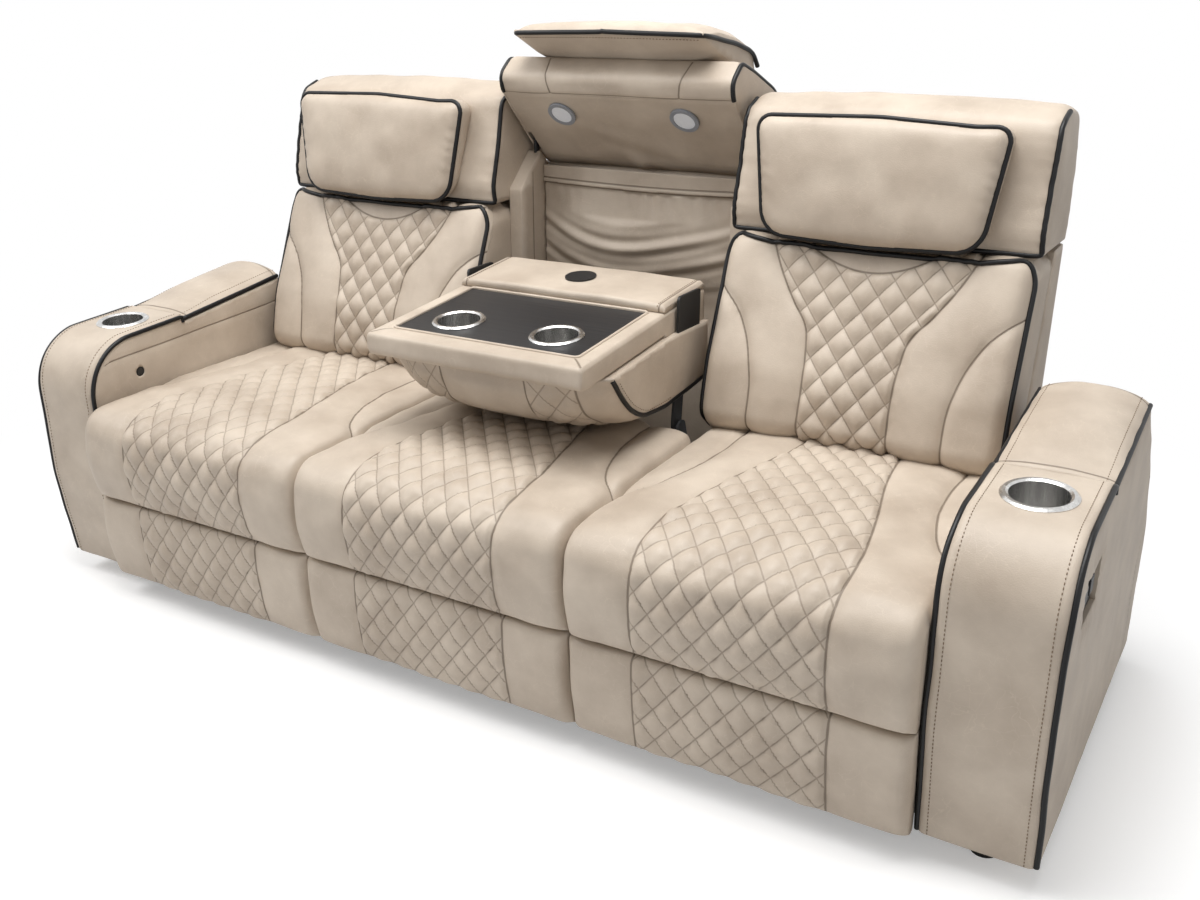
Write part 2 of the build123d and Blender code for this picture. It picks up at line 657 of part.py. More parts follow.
def centre_plate(centre, sign):
    """Plate under the middle seat: no links, only the deck to carry."""
    half = PLATE_THICKNESS / 2
    x = centre + sign * PLATE_OFFSET
    return bar([(DECK_FRONT, DECK_Z, 4), (DECK_FRONT, RAIL_BOTTOM, 4), (REAR_RAIL[0], RAIL_BOTTOM, 4),
                (REAR_RAIL[0], 120, 20), (DECK_REAR + DECK_RAIL, DECK_Z, 10)], x - half, x + half)


def mechanism_plates():
    solids = []
    for name, centre in SEAT_CENTRES.items():
        solids += both_sides(centre, centre_plate if name == "centre" else side_plate)
    parts["mechanism_plates"] = solids


def box(x, y, z):
    """Box between two values on each axis."""
    size = (x[1] - x[0], y[1] - y[0], z[1] - z[0])
    return Solid.make_box(*size, Plane(origin=(x[0], y[0], z[0])))


def base_rails():
    """Welded base: rails on the feet, rear cross rails, uprights and the two deck rails."""
    plate_outer = PLATE_OFFSET + PLATE_THICKNESS / 2
    bottom = (RAIL_BOTTOM, RAIL_BOTTOM + RAIL_HEIGHT)
    rails = []
    for boundary in (-1.5, -0.5, 0.5, 1.5):
        low = max(boundary * SEAT_PITCH - (SEAT_PITCH / 2 - plate_outer), -ARM_INNER)
        high = min(boundary * SEAT_PITCH + (SEAT_PITCH / 2 - plate_outer), ARM_INNER)
        rails.append(box((low, high), (DECK_FRONT, REAR_RAIL[1]), bottom))
        for front in (DECK_FRONT, DECK_REAR):
            rails.append(box((low, high), (front + 5, front + DECK_RAIL - 5), (bottom[1], DECK_Z)))
    for centre in SEAT_CENTRES.values():
        rails.append(box((centre - plate_outer, centre + plate_outer), REAR_RAIL, bottom))
    deck = (DECK_Z, DECK_Z + DECK_HEIGHT)
    for front in (DECK_FRONT, DECK_REAR):
        rails.append(box((-ARM_INNER, ARM_INNER), (front, front + DECK_RAIL), deck))
    parts["base_rails"] = rails


def glide_feet():
    """Round glides under the arms and under the two middle rails."""
    feet = []
    for x in (-ARM_MIDDLE, -SEAT_PITCH / 2, SEAT_PITCH / 2, ARM_MIDDLE):
        for y in (DECK_FRONT + 30, REAR_RAIL[1] - 25):
            cone = Solid.make_cone(FOOT_RADIUS, FOOT_RADIUS + 4, FOOT_HEIGHT, Plane(origin=(x, y, 0)))
            feet.append(cone)
    parts["glide_feet"] = feet


def seat_springs():
    """Sinuous springs across each seat deck, from the front rail to the rear rail."""
    low = DECK_Z + DECK_HEIGHT
    length = DECK_REAR + DECK_RAIL - DECK_FRONT - 20
    step = length / SPRING_BENDS
    wires = []
    for centre in SEAT_CENTRES.values():
        for column in range(SPRINGS_PER_SEAT):
            x = centre + (column - (SPRINGS_PER_SEAT - 1) / 2) * SPRING_PITCH
            line = [(x + (SPRING_SWING if bend % 2 else -SPRING_SWING), DECK_FRONT + 10 + bend * step)
                    for bend in range(SPRING_BENDS + 1)]
            half = SPRING_WIRE / 2
            outline = [(px - half, py, low) for px, py in line]
            outline += [(px + half, py, low) for px, py in reversed(line)]
            wires.append(Solid.extrude(flat_face(outline), Vector(0, 0, SPRING_WIRE)))
    parts["seat_springs"] = wires


def actuator(centre):
    """Motor housing with the bore that the push rod slides in, hung from the rear deck rail."""
    tip = crank_tip()
    z = tip[1] + ROD_DROP
    front = tip[0] + ROD_NOSE
    tube = cylinder_y(ROD_RADIUS + 12, front, front + HOUSING_LENGTH, (centre + ROD_OFFSET, z))
    bore = cylinder_y(ROD_RADIUS + ROD_FIT, front - 1, front + HOUSING_LENGTH - 6, (centre + ROD_OFFSET, z))
    motor = cylinder_z(24, z - 74, z - 4, (centre + ROD_OFFSET, front + HOUSING_LENGTH - 20))
    span = (centre + ROD_OFFSET - 9, centre + ROD_OFFSET + 9)
    hanger = box(span, (DECK_REAR + 4, DECK_REAR + 30), (z, DECK_Z))
    reach = box(span, (front + 20, DECK_REAR + 30), (z + 12, z + 26))
    return tube + motor + hanger + reach - bore


def actuator_rod(centre):
    """Push rod with its fork beside the crank."""
    tip = crank_tip()
    z = tip[1] + ROD_DROP
    rod = cylinder_y(ROD_RADIUS, tip[0], tip[0] + ROD_LENGTH, (centre + ROD_OFFSET, z))
    return rod + cylinder_x(10, centre + 4, centre + ROD_OFFSET, (tip[0], z))


def cylinder_y(radius, y_low, y_high, centre):
    """Round bar along Y at an (x, z) centre."""
    plane = Plane(origin=(centre[0], y_low, centre[1]), x_dir=(1, 0, 0), z_dir=(0, 1, 0))
    return Solid.make_cylinder(radius, y_high - y_low, plane)


def cylinder_z(radius, z_low, z_high, centre):
    """Round bar along Z at an (x, y) centre."""
    return Solid.make_cylinder(radius, z_high - z_low, Plane(origin=(*centre, z_low)))


def recline_mechanisms():
    """Everything that swings the two outer foot panels out."""
    housings = []
    for name in SIDES:
        centre = SEAT_CENTRES[name]
        parts[f"{name}_footrest_pad"] = panel_pad(centre)
        parts[f"{name}_footrest_board"] = as_solids(panel_board(centre))
        parts[f"{name}_drive_links"] = as_solids(drive_links(centre))
        parts[f"{name}_upper_links"] = both_sides(centre, upper_link)
        parts[f"{name}_cross_links"] = both_sides(centre, cross_link)
        parts[f"{name}_push_rod"] = as_solids(actuator_rod(centre))
        housings += as_solids(actuator(centre))
    parts["actuators"] = housings


# ================================================================ arms
def arm_top(y):
    """Height of the arm's top line in front of the lid."""
    return ARM_TOP_Z + (y - ARM_FRONT) * tan(radians(ARM_TOP_SLOPE))


def lid_seat(y):
    """Height of the ledge that the lid closes on."""
    return LID_SEAT_Z + (y - LID_FRONT) * tan(radians(LID_SLOPE))


def arm_corners():
    step = LID_FRONT - 3
    crest = LID_REAR + 11
    return [
        (ARM_REAR, FOOT_HEIGHT, 8, 1, 0), (ARM_REAR, 305, 150, 1, 0),
        (ARM_REAR - 146, 519, 200, 1, 1), (crest, lid_seat(crest) - 4, 14, 0, 1),
        (crest - 8, lid_seat(crest) - 4, 3, 0, 0), (LID_REAR + 2, lid_seat(LID_REAR), 3, 0, 0),
        (step, lid_seat(step), 1, 0, 0), (step, arm_top(step), 3, 0, 1),
        (ARM_FRONT, ARM_TOP_Z, ARM_NOSE_RADIUS, -1, 1),
        (ARM_FRONT + 4, 235, 400, -1, 0), (ARM_TOE, FOOT_HEIGHT, 8, -1, 0),
    ]


def arm_stations():
    roll = ARM_EDGE
    return [(ARM_INNER, -roll), (ARM_INNER + roll * 0.2, -roll * 0.4), (ARM_INNER + roll, 0.0),
            (ARM_OUTER - roll, 0.0), (ARM_OUTER - roll * 0.2, -roll * 0.4), (ARM_OUTER, -roll)]


def cup_place():
    return Location((ARM_MIDDLE, CUP_Y, arm_top(CUP_Y) + SOFT_GAP), (ARM_TOP_SLOPE, 0, 0))


def arm_shell():
    """Upholstered arm with its storage well, cup well, control recess and button hole."""
    shell = soft_body(arm_corners(), arm_stations())
    y_low, y_high = bin_span()
    half = BIN_WIDTH / 2 + SOFT_GAP
    well = box((ARM_MIDDLE - half, ARM_MIDDLE + half), (y_low - SOFT_GAP, y_high + SOFT_GAP),
               (bin_floor() - SOFT_GAP, ARM_TOP_Z + 120))
    cup_well = Solid.make_cylinder(CUP_RADIUS + CUP_WALL + CUP_FIT, CUP_DEPTH + CUP_WALL + CUP_FIT + 60,
                                   Plane.XY.offset(-CUP_DEPTH - CUP_WALL - CUP_FIT))
    recess = box((ARM_OUTER - CONTROL_DEPTH, ARM_OUTER + 5),
                 (CONTROL_Y - CONTROL_LENGTH / 2, CONTROL_Y + CONTROL_LENGTH / 2),
                 (CONTROL_Z - CONTROL_HEIGHT / 2, CONTROL_Z + CONTROL_HEIGHT / 2))
    button_hole = cylinder_x(RING_BUTTON_COLLAR, ARM_INNER - 1, ARM_INNER + RING_BUTTON_DEPTH,
                             (RING_BUTTON_Y, RING_BUTTON_Z))
    return shell - well - cup_well.moved(cup_place()) - recess - button_hole


def bin_span():
    """Y range of the storage bin, centred under the lid."""
    middle = (LID_FRONT + LID_REAR) / 2
    return middle - BIN_LENGTH / 2, middle + BIN_LENGTH / 2


def bin_floor():
    return lid_seat(bin_span()[0]) - BIN_DEPTH


def arm_bin():
    """Open storage bin; its rim follows the slope of the lid. The lid's hinge bar lies behind it."""
    y_low, y_high = bin_span()
    floor = bin_floor()
    low, high = ARM_MIDDLE - BIN_WIDTH / 2, ARM_MIDDLE + BIN_WIDTH / 2
    rim_drop = 0.5
    outer = bar([(y_low, floor, 3), (y_low, lid_seat(y_low) - rim_drop, 1),
                 (y_high, lid_seat(y_high) - rim_drop, 1), (y_high, floor, 3)], low, high)
    inner = box((low + BIN_WALL, high - BIN_WALL), (y_low + BIN_WALL, y_high - BIN_WALL),
                (floor + BIN_WALL, floor + BIN_DEPTH + 200))
    return outer - inner


def lid_pivot():
    return (LID_REAR + 5, lid_seat(LID_REAR) + LID_GAP + 4)


def arm_lid():
    """Crowned lid, thickest along its middle, with the hinge knuckle at its rear."""
    half = ARM_WIDTH / 2 - 3
    wires = []
    shares = ((-1, 0.0), (-0.9, 0.35), (-0.6, 0.75), (0, 1.0), (0.6, 0.75), (0.9, 0.35), (1, 0.0))
    for share, thickness in shares:
        rise = LID_EDGE + (LID_CROWN - LID_EDGE) * thickness
        pull = 3 * abs(share) ** 4
        front, rear = LID_FRONT + pull, LID_REAR - pull
        low_front, low_rear = lid_seat(front) + LID_GAP, lid_seat(rear) + LID_GAP
        round_off = 0.4 * rise
        wires.append(rounded_loop(side_plane(ARM_MIDDLE + share * half), [
            (front, low_front, 2), (front, low_front + rise, round_off),
            (rear, low_rear + rise, round_off), (rear, low_rear, 1)]))
    lid = Solid.make_loft(wires, ruled=True)
    y, z = lid_pivot()
    knuckle = cylinder_x(LID_PIN_RADIUS + 2, ARM_MIDDLE - 30, ARM_MIDDLE + 30, (y, z))
    leaf = box((ARM_MIDDLE - 30, ARM_MIDDLE + 30), (LID_REAR - 12, y), (z - 2, z + 2))
    hole = cylinder_x(LID_PIN_RADIUS + PIN_FIT, ARM_MIDDLE - 31, ARM_MIDDLE + 31, (y, z))
    return lid + knuckle + leaf - hole


def lid_hinge_bar():
    """Fixed bar of the lid hinge with an ear at each end."""
    y, z = lid_pivot()
    rod = cylinder_x(LID_PIN_RADIUS, ARM_MIDDLE - 36, ARM_MIDDLE + 36, (y, z))
    foot = lid_seat(LID_REAR) - 4
    for sign in (-1, 1):
        x = ARM_MIDDLE + sign * 34
        ear = [(y - 5, foot, 1), (y - 5, z + 4, 3), (y + 5, z + 4, 3), (y + 5, foot, 1)]
        rod = rod + bar(ear, x - 2, x + 2)
    return rod


def cup_liner(radius, ring, depth):
    """Spun steel cup with a rolled ring, its rim in the XY plane."""
    outer = radius + CUP_WALL
    profile = Polyline(
        (0, -depth - CUP_WALL), (outer, -depth - CUP_WALL), (outer, 0), (radius + ring, 0),
        (radius + ring, 1.5), (radius + ring * 0.7, 4.5), (radius + ring * 0.3, 4.5), (radius, 2),
        (radius, -depth), (0, -depth), (0, -depth - CUP_WALL))
    face = Plane.XZ * make_face(profile)
    return revolve(face, Axis.Z).solid()


def control_bezel():
    """Frame of the outer control panel, with a window for each push button."""
    inner = ARM_OUTER - CONTROL_DEPTH
    half_length, half_height = CONTROL_LENGTH / 2 - SOFT_GAP, CONTROL_HEIGHT / 2 - SOFT_GAP
    bezel = box((inner, inner + BEZEL_THICKNESS), (CONTROL_Y - half_length, CONTROL_Y + half_length),
                (CONTROL_Z - half_height, CONTROL_Z + half_height))
    for y in push_places():
        half = PUSH_SIZE / 2 + PUSH_FIT
        window = box((inner + PUSH_TRAVEL, inner + 20), (y - half, y + half),
                     (CONTROL_Z - half, CONTROL_Z + half))
        bezel = bezel - window
    return bezel


def push_places():
    return (CONTROL_Y - PUSH_PITCH / 2, CONTROL_Y + PUSH_PITCH / 2)


def push_button(y):
    """Square button that stands in its window, free to travel inwards."""
    inner = ARM_OUTER - CONTROL_DEPTH + 2 * PUSH_TRAVEL + 0.3
    half = PUSH_SIZE / 2
    button = box((inner, inner + 6), (y - half, y + half), (CONTROL_Z - half, CONTROL_Z + half))
    return chamfer(button.faces().sort_by(Axis.X)[-1].edges(), 1)


def ring_button():
    """Small round button of the inner arm face, in its collar."""
    return cylinder_x(RING_BUTTON_RADIUS, ARM_INNER - 1.5, ARM_INNER + RING_BUTTON_DEPTH - 3,
                      (RING_BUTTON_Y, RING_BUTTON_Z))


def ring_collar():
    collar = cylinder_x(RING_BUTTON_COLLAR - SOFT_GAP, ARM_INNER - 1, ARM_INNER + RING_BUTTON_DEPTH,
                        (RING_BUTTON_Y, RING_BUTTON_Z))
    bore = cylinder_x(RING_BUTTON_RADIUS + PUSH_FIT, ARM_INNER - 2, ARM_INNER + RING_BUTTON_DEPTH - 1,
                      (RING_BUTTON_Y, RING_BUTTON_Z))
    return collar - bore


def arms():
    bezels = []
    pieces = {
        "arm": arm_shell(),
        "arm_bin": [*as_solids(arm_bin()), *as_solids(lid_hinge_bar())],
        "arm_cup": cup_liner(CUP_RADIUS, CUP_RING, CUP_DEPTH).moved(cup_place()),
        "arm_lid": arm_lid(),
        "ring_button": ring_button(),
        "open_button": push_button(push_places()[0]),
        "close_button": push_button(push_places()[1]),
    }
    for name, sign in SIDES.items():
        for piece, shape in pieces.items():
            solids = as_solids(shape)
            parts[f"{name}_{piece}"] = solids if sign > 0 else [mirrored(s) for s in solids]
        for shape in (control_bezel(), ring_collar()):
            bezels += [s if sign > 0 else mirrored(s) for s in as_solids(shape)]
    parts["control_bezels"] = bezels


# ================================================================ outer backs
def frame_plane(z):
    """Y of the plane where the back cushion meets its frame."""
    share = (z - BACK_BOTTOM) / (BACK_TOP - BACK_BOTTOM)
    return BACK_FRAME_FRONT + BACK_FRAME_RISE * share


def back_cushion():
    """Bucket cushion of one outer back with the quilted strip up its middle."""
    face = [(y, z, r, -1, 0) for (y, z), r in zip(BACK_FACE, BACK_FACE_RADII)]
    foam_top = frame_plane(BACK_TOP) - SOFT_GAP
    foam_bottom = frame_plane(BACK_BOTTOM) - SOFT_GAP
    corners = [*face, (foam_top, BACK_TOP, 4, 0, 0), (foam_bottom, BACK_BOTTOM, 4, 0, 0)]
    stations = crown_stations(BACK_WIDTH / 2, 0.0, BACK_CROWN, BACK_CENTRE)
    points = [BACK_STRIP_ENDS[0], *BACK_FACE[2:6], BACK_STRIP_ENDS[1]]
    path = open_path(points, BACK_STRIP_RADII)
    return quilted_cushion(corners, stations, path,
                           lambda share: table(BACK_QUILT, path.position_at(share).Y), BACK_CENTRE)


def back_frame():
    """Upholstered rear half of an outer back, down to the recline pivots, with the
    two straps of the head rest hinge on its top."""
    half = BACK_WIDTH / 2
    upper = soft_body([
        (frame_plane(BACK_BOTTOM), BACK_BOTTOM, 3, 0, 0), (frame_plane(BACK_TOP), BACK_TOP, 3, 0, 0),
        (BACK_REAR_TOP, BACK_TOP + 4, 10, 1, 0), (BACK_REAR_BOTTOM, BACK_BOTTOM, 10, 1, 0),
    ], [(BACK_CENTRE - half, -10), (BACK_CENTRE - half + 10, 0),
        (BACK_CENTRE + half - 10, 0), (BACK_CENTRE + half, -10)])
    lower = bar([(LOWER_FRONT, LOWER_BOTTOM, 10), (LOWER_FRONT, BACK_BOTTOM - 8, 4),
                 (frame_plane(BACK_BOTTOM) - 2, BACK_BOTTOM - 2, 0.5),
                 (frame_plane(BACK_BOTTOM) + 3, BACK_BOTTOM + 2, 1),
                 (BACK_REAR_BOTTOM - 1, BACK_BOTTOM + 2, 1),
                 (BACK_REAR_BOTTOM - 8, LOWER_BOTTOM, 20)],
                SEAT_PITCH - FRAME_HALF, SEAT_PITCH + FRAME_HALF)
    frame = upper + lower
    for sign in (-1, 1):
        frame = frame + cross_pin(SEAT_PITCH, sign, FRAME_HALF + 8, FRAME_HALF - 1, BACK_PIVOT, 22)
        frame = frame - cross_pin(SEAT_PITCH, sign, FRAME_HALF + 9, FRAME_HALF - 11, BACK_PIVOT,
                                  BACK_PIN_RADIUS + PIN_FIT)
    y, z = HEAD_PIVOT
    for sign in (-1, 1):
        low, high = sorted(BACK_CENTRE + sign * x for x in STRAP_X)
        frame = frame + box((low, high), (y, y + 80), (z - 2.5, z + 0.5))
        frame = frame + box((low, high), (frame_plane(BACK_TOP) + 4, y + 80), (BACK_TOP - 6, z + 0.5))
        frame = frame + cylinder_x(HEAD_PIN_RADIUS + 2.5, low, high, HEAD_PIVOT)
        frame = frame + cylinder_x(HEAD_PIN_RADIUS, low - 8, high + 8, HEAD_PIVOT)
    return frame


def head_block():
    """Padded head rest block, notched for the two hinge straps."""
    y, z = HEAD_PIVOT
    corners = [(a, b, r, da, db) for (a, b, r), (da, db) in zip(HEAD_OUTLINE, HEAD_DRAW)]
    half = BACK_WIDTH / 2
    block = soft_body(corners, [
        (BACK_CENTRE - half, -HEAD_CROWN), (BACK_CENTRE - half + 4, -3), (BACK_CENTRE - half + 14, 0),
        (BACK_CENTRE + half - 14, 0), (BACK_CENTRE + half - 4, -3), (BACK_CENTRE + half, -HEAD_CROWN)])
    for sign in (-1, 1):
        low, high = sorted(BACK_CENTRE + sign * x for x in STRAP_X)
        block = block - box((low - 4, high + 4), (y - 12, y + 90), (z - 12, z + 10))
        for x_low, x_high in ((low - 10, low - 4), (high + 4, high + 10)):
            block = block + cylinder_x(HEAD_PIN_RADIUS + 3, x_low, x_high, HEAD_PIVOT)
            block = block + box((x_low, x_high), (y - 2, y + 12), (z + 1, z + 10))
            block = block - cylinder_x(HEAD_PIN_RADIUS + PIN_FIT, x_low - 1, x_high + 1, HEAD_PIVOT)
    return block


def pillow_loop(bottom, top, bottom_half, top_half, corner, inset, push, centre):
    """Outline of a pillow in the plane from bottom to top, both (y, z), pushed along its normal."""
    run = (top[0] - bottom[0], top[1] - bottom[1])
    height = hypot(*run)
    up = (run[0] / height, run[1] / height)
    out = (-up[1], up[0])
    origin = (centre, bottom[0] + out[0] * push, bottom[1] + out[1] * push)
    plane = Plane(origin=origin, x_dir=(1, 0, 0), z_dir=(0, *out))
    return rounded_loop(plane, [
        (-bottom_half + inset, inset, corner), (bottom_half - inset, inset, corner),
        (top_half - inset, height - inset, corner), (-top_half + inset, height - inset, corner)])


def head_pillow():
    """Bolster on the front of an outer head rest, wider at the top."""
    base_bottom = (block_face(PILLOW_BOTTOM[1] + 6) - SOFT_GAP, PILLOW_BOTTOM[1] + 6)
    base_top = (block_face(PILLOW_TOP[1] - 2) - SOFT_GAP, PILLOW_TOP[1] - 2)
    wires = []
    for share, inset, push in ((0, 8, 0), (0.4, 0, 0), (1, 3, 0), (1, 18, 0.55), (1, 45, 0.85), (1, 80, 1)):
        bottom = [b + (f - b) * share for b, f in zip(base_bottom, PILLOW_BOTTOM)]
        top = [b + (f - b) * share for b, f in zip(base_top, PILLOW_TOP)]
        wires.append(pillow_loop(bottom, top, PILLOW_BOTTOM_HALF, PILLOW_TOP_HALF,
                                 max(PILLOW_CORNER - inset / 3, 12), inset, push * PILLOW_BULGE, BACK_CENTRE))
    return Solid.make_loft(wires, ruled=True)


def block_face(z):
    """Y of the front face of an outer head block."""
    (y0, z0, _), (y1, z1, _) = HEAD_OUTLINE[1], HEAD_OUTLINE[3]
    return y0 + (y1 - y0) * (z - z0) / (z1 - z0)


def outer_backs():
    pieces = {
        "back_frame": as_solids(back_frame()),
        "back_cushion": back_cushion(),
        "head_block": as_solids(head_block()),
        "head_pillow": as_solids(head_pillow()),
    }
    for name, sign in SIDES.items():
        for piece, solids in pieces.items():
            parts[f"{name}_{piece}"] = solids if sign > 0 else [mirrored(s) for s in solids]


# ================================================================ centre back
def post_outline():
    """Side outline of a post: its peak lies under the head rest hinge, clear of the
    head rest's underside both shut and turned up."""
    peak = (HEAD_HINGE[0], HEAD_HINGE[1] - POST_DROP)
    return [(POST_FRONT, RECESS_BOTTOM, 4), (POST_FRONT, peak[1] - (peak[0] - POST_FRONT), 6), (*peak, 4),
            (POST_REAR, peak[1] - (POST_REAR - peak[0]), 2), (POST_REAR, RECESS_BOTTOM, 2)]


def centre_posts():
    """Two padded posts beside the recess with the steel ears of the head rest hinge."""
    solids = []
    y, z = HEAD_HINGE
    for sign in (-1, 1):
        low, high = sorted((sign * POST_INNER, sign * CENTRE_HALF))
        solids.append(bar(post_outline(), low, high))
        ear_low, ear_high = sorted((sign * (POST_INNER + 6), sign * (POST_INNER + 13)))
        foot = z - POST_DROP - 20
        ear = bar([(y - 7, foot, 1), (y - 7, z + 7, 5), (y + 7, z + 7, 5), (y + 7, foot, 1)], ear_low, ear_high)
        pin_low, pin_high = sorted((sign * (POST_INNER - 5), sign * (POST_INNER + 13)))
        solids[-1] = solids[-1] + ear + cylinder_x(HINGE_PIN_RADIUS, pin_low, pin_high, HEAD_HINGE)
    parts["centre_posts"] = [s for solid in solids for s in as_solids(solid)]


def centre_back_frame():
    """Board behind the recess and the padded cover on its rear."""
    board = box((-CENTRE_HALF, CENTRE_HALF), (POST_REAR, BOARD_REAR), (110, POCKET_TOP))
    board = board + box((-CENTRE_HALF, CENTRE_HALF), (REAR_RAIL[1], BOARD_REAR), (RAIL_BOTTOM + 4, 130))
    cover = soft_body([
        (BOARD_REAR + SOFT_GAP, 110, 4, 0, 0), (BOARD_REAR + SOFT_GAP, POCKET_TOP, 4, 0, 0),
        (COVER_REAR, POCKET_TOP, 10, 1, 0), (COVER_REAR - 20, 110, 10, 1, 0),
    ], [(-CENTRE_HALF, -8), (-CENTRE_HALF + 8, 0), (CENTRE_HALF - 8, 0), (CENTRE_HALF, -8)])
    parts["centre_back_frame"] = [*as_solids(board), cover]


def recess_pocket():
    """Gathered leather lining of the recess, in upright folds."""
    half = POST_INNER - 4
    folds = 2 * POCKET_FOLDS
    points = []
    for i in range(folds + 1):
        y = POCKET_FRONT + (POCKET_FOLD if i % 2 else 0)
        points.append((-half + 2 * half * i / folds, y, RECESS_BOTTOM))
    rear = POST_REAR
    outline = [*points, (half, rear, RECESS_BOTTOM), (-half, rear, RECESS_BOTTOM)]
    lining = Solid.extrude(flat_face(outline), Vector(0, 0, POCKET_TOP - RECESS_BOTTOM))
    parts["recess_pocket"] = [lining]


def centre_head_block():
    """Middle head rest turned up: its underside, with the two lights, faces the front."""
    corners = [(a, b, r, da, db) for (a, b, r), (da, db) in zip(CENTRE_HEAD_OUTLINE, CENTRE_HEAD_DRAW)]
    half = CENTRE_HEAD_HALF
    block = soft_body(corners, [(-half, -HEAD_CROWN), (-half + 4, -3), (-half + 14, 0),
                                (half - 14, 0), (half - 4, -3), (half, -HEAD_CROWN)])
    for sign in (-1, 1):
        low, high = sorted((sign * (POST_INNER + 4), sign * (half + 2)))
        block = block - cylinder_x(HINGE_NOTCH, low, high, HEAD_HINGE)
        low, high = sorted((sign * (POST_INNER - 7), sign * (POST_INNER + 5)))
        block = block - cylinder_x(HINGE_PIN_RADIUS + PIN_FIT, low, high, HEAD_HINGE)
        block = block - light_disc(sign, LIGHT_RADIUS - 3, -LIGHT_DEPTH, 5)
    return block


def light_disc(sign, radius, deep, proud):
    """Disc across the head rest's underside at one light."""
    front, end = CENTRE_HEAD_OUTLINE[0][:2], CENTRE_HEAD_OUTLINE[-1][:2]
    run = (end[0] - front[0], end[1] - front[1])
    length = hypot(*run)
    out = (run[1] / length, -run[0] / length)
    share = (LIGHT_Y - front[0]) / run[0]
    y, z = front[0] + run[0] * share, front[1] + run[1] * share
    origin = (sign * LIGHT_X, y + out[0] * deep, z + out[1] * deep)
    plane = Plane(origin=origin, x_dir=(1, 0, 0), z_dir=(0, *out))
    return Solid.make_cylinder(radius, proud - deep, plane)


def lights():
    bezels = []
    lenses = []
    for sign in (-1, 1):
        ring = light_disc(sign, LIGHT_RADIUS, 0.3, 5)
        ring = ring + light_disc(sign, LIGHT_RADIUS - 3.4, -LIGHT_DEPTH + 1, 1)
        bezels += as_solids(ring - light_disc(sign, LIGHT_RADIUS - 8, -LIGHT_DEPTH + 3, 7))
        lenses.append(light_disc(sign, LIGHT_RADIUS - 8.3, -LIGHT_DEPTH + 3.3, 4))
    parts["light_bezels"] = bezels
    parts["light_lenses"] = lenses


def centre_head_pillow():
    """Bolster of the middle head rest; turned up, its lower end stands out like a visor."""
    corners = [(a, b, r, da, db) for (a, b, r), (da, db) in zip(CENTRE_PILLOW_OUTLINE, CENTRE_PILLOW_DRAW)]
    half = PILLOW_TOP_HALF + 3
    stations = [(-half, -18), (-half + 8, -9), (-half + 30, -3), (-half + 90, 0), (half - 90, 0),
                (half - 30, -3), (half - 8, -9), (half, -18)]
    return soft_body(corners, stations)


def centre_back():
    centre_posts()
    centre_back_frame()
    recess_pocket()
    parts["centre_head_block"] = as_solids(centre_head_block())
    parts["centre_head_pillow"] = as_solids(centre_head_pillow())
    lights()


# ================================================================ console
def tray_top(y):
    return TRAY_TOP_Z + (y - TRAY_FRONT) * tan(radians(TRAY_SLOPE))


def tray_under(y):
    return tray_top(y) - TRAY_THICKNESS


def box_under(y):
    return BOX_BOTTOM_Z + (y - BOX_FRONT) * tan(radians(BOX_BOTTOM_SLOPE))


def tray_place(x, y):
    """Place on the table top, Z square to it."""
    return Location((x, y, tray_top(y)), (TRAY_SLOPE, 0, 0))


def cup_pocket(clearance, depth):
    """Round pocket for a table cup, at the origin, mouth upwards."""
    radius = TABLE_CUP_RADIUS + CUP_WALL + clearance
    return Solid.make_cylinder(radius, depth + 20, Plane.XY.offset(-depth))


def console_tray():
    """Table tray with the storage box behind it, one moulding."""
    half = CONSOLE_HALF
    tray = bar([(TRAY_FRONT, tray_under(TRAY_FRONT), 3), (TRAY_FRONT, TRAY_TOP_Z, 5),
                (BOX_REAR, tray_top(BOX_REAR), 2), (BOX_REAR, box_under(BOX_REAR), 10),
                (BOX_FRONT, box_under(BOX_FRONT), 10), (BOX_FRONT, tray_under(BOX_FRONT), 0.3)], -half, half)
    inside = half - BOX_WALL
    hollow = box((-inside, inside), (BOX_FRONT + BOX_WALL, BOX_REAR - BOX_WALL), (BOX_FLOOR_Z, TRAY_TOP_Z + 90))
    front_z, rear_z = tray_top(INLAY_FRONT), tray_top(INLAY_REAR)
    seat = bar([(INLAY_FRONT, front_z - INLAY_THICKNESS, 0.2), (INLAY_FRONT, front_z + 9, 0.2),
                (INLAY_REAR, rear_z + 9, 0.2), (INLAY_REAR, rear_z - INLAY_THICKNESS, 0.2)],
               -INLAY_HALF, INLAY_HALF)
    tray = tray - hollow - seat
    for sign in (-1, 1):
        pocket = cup_pocket(CUP_FIT, TABLE_CUP_DEPTH + 10)
        tray = tray - pocket.moved(tray_place(sign * TABLE_CUP_X, TABLE_CUP_Y))
    y, z = console_lid_pivot()
    for sign in (-1, 1):
        low, high = sorted((sign * 64, sign * 69))
        tray = tray + bar([(BOX_REAR - 4, z - 26, 1), (BOX_REAR - 4, z - 9, 1), (y - 5, z + 4, 2),
                           (y + 5, z + 5, 4), (y + 5, z - 8, 4)], low, high)
    return tray + cylinder_x(LID_PIN_RADIUS, -66, 66, (y, z))


def console_lid_pivot():
    return (BOX_REAR + 7, tray_top(BOX_REAR) + 1)


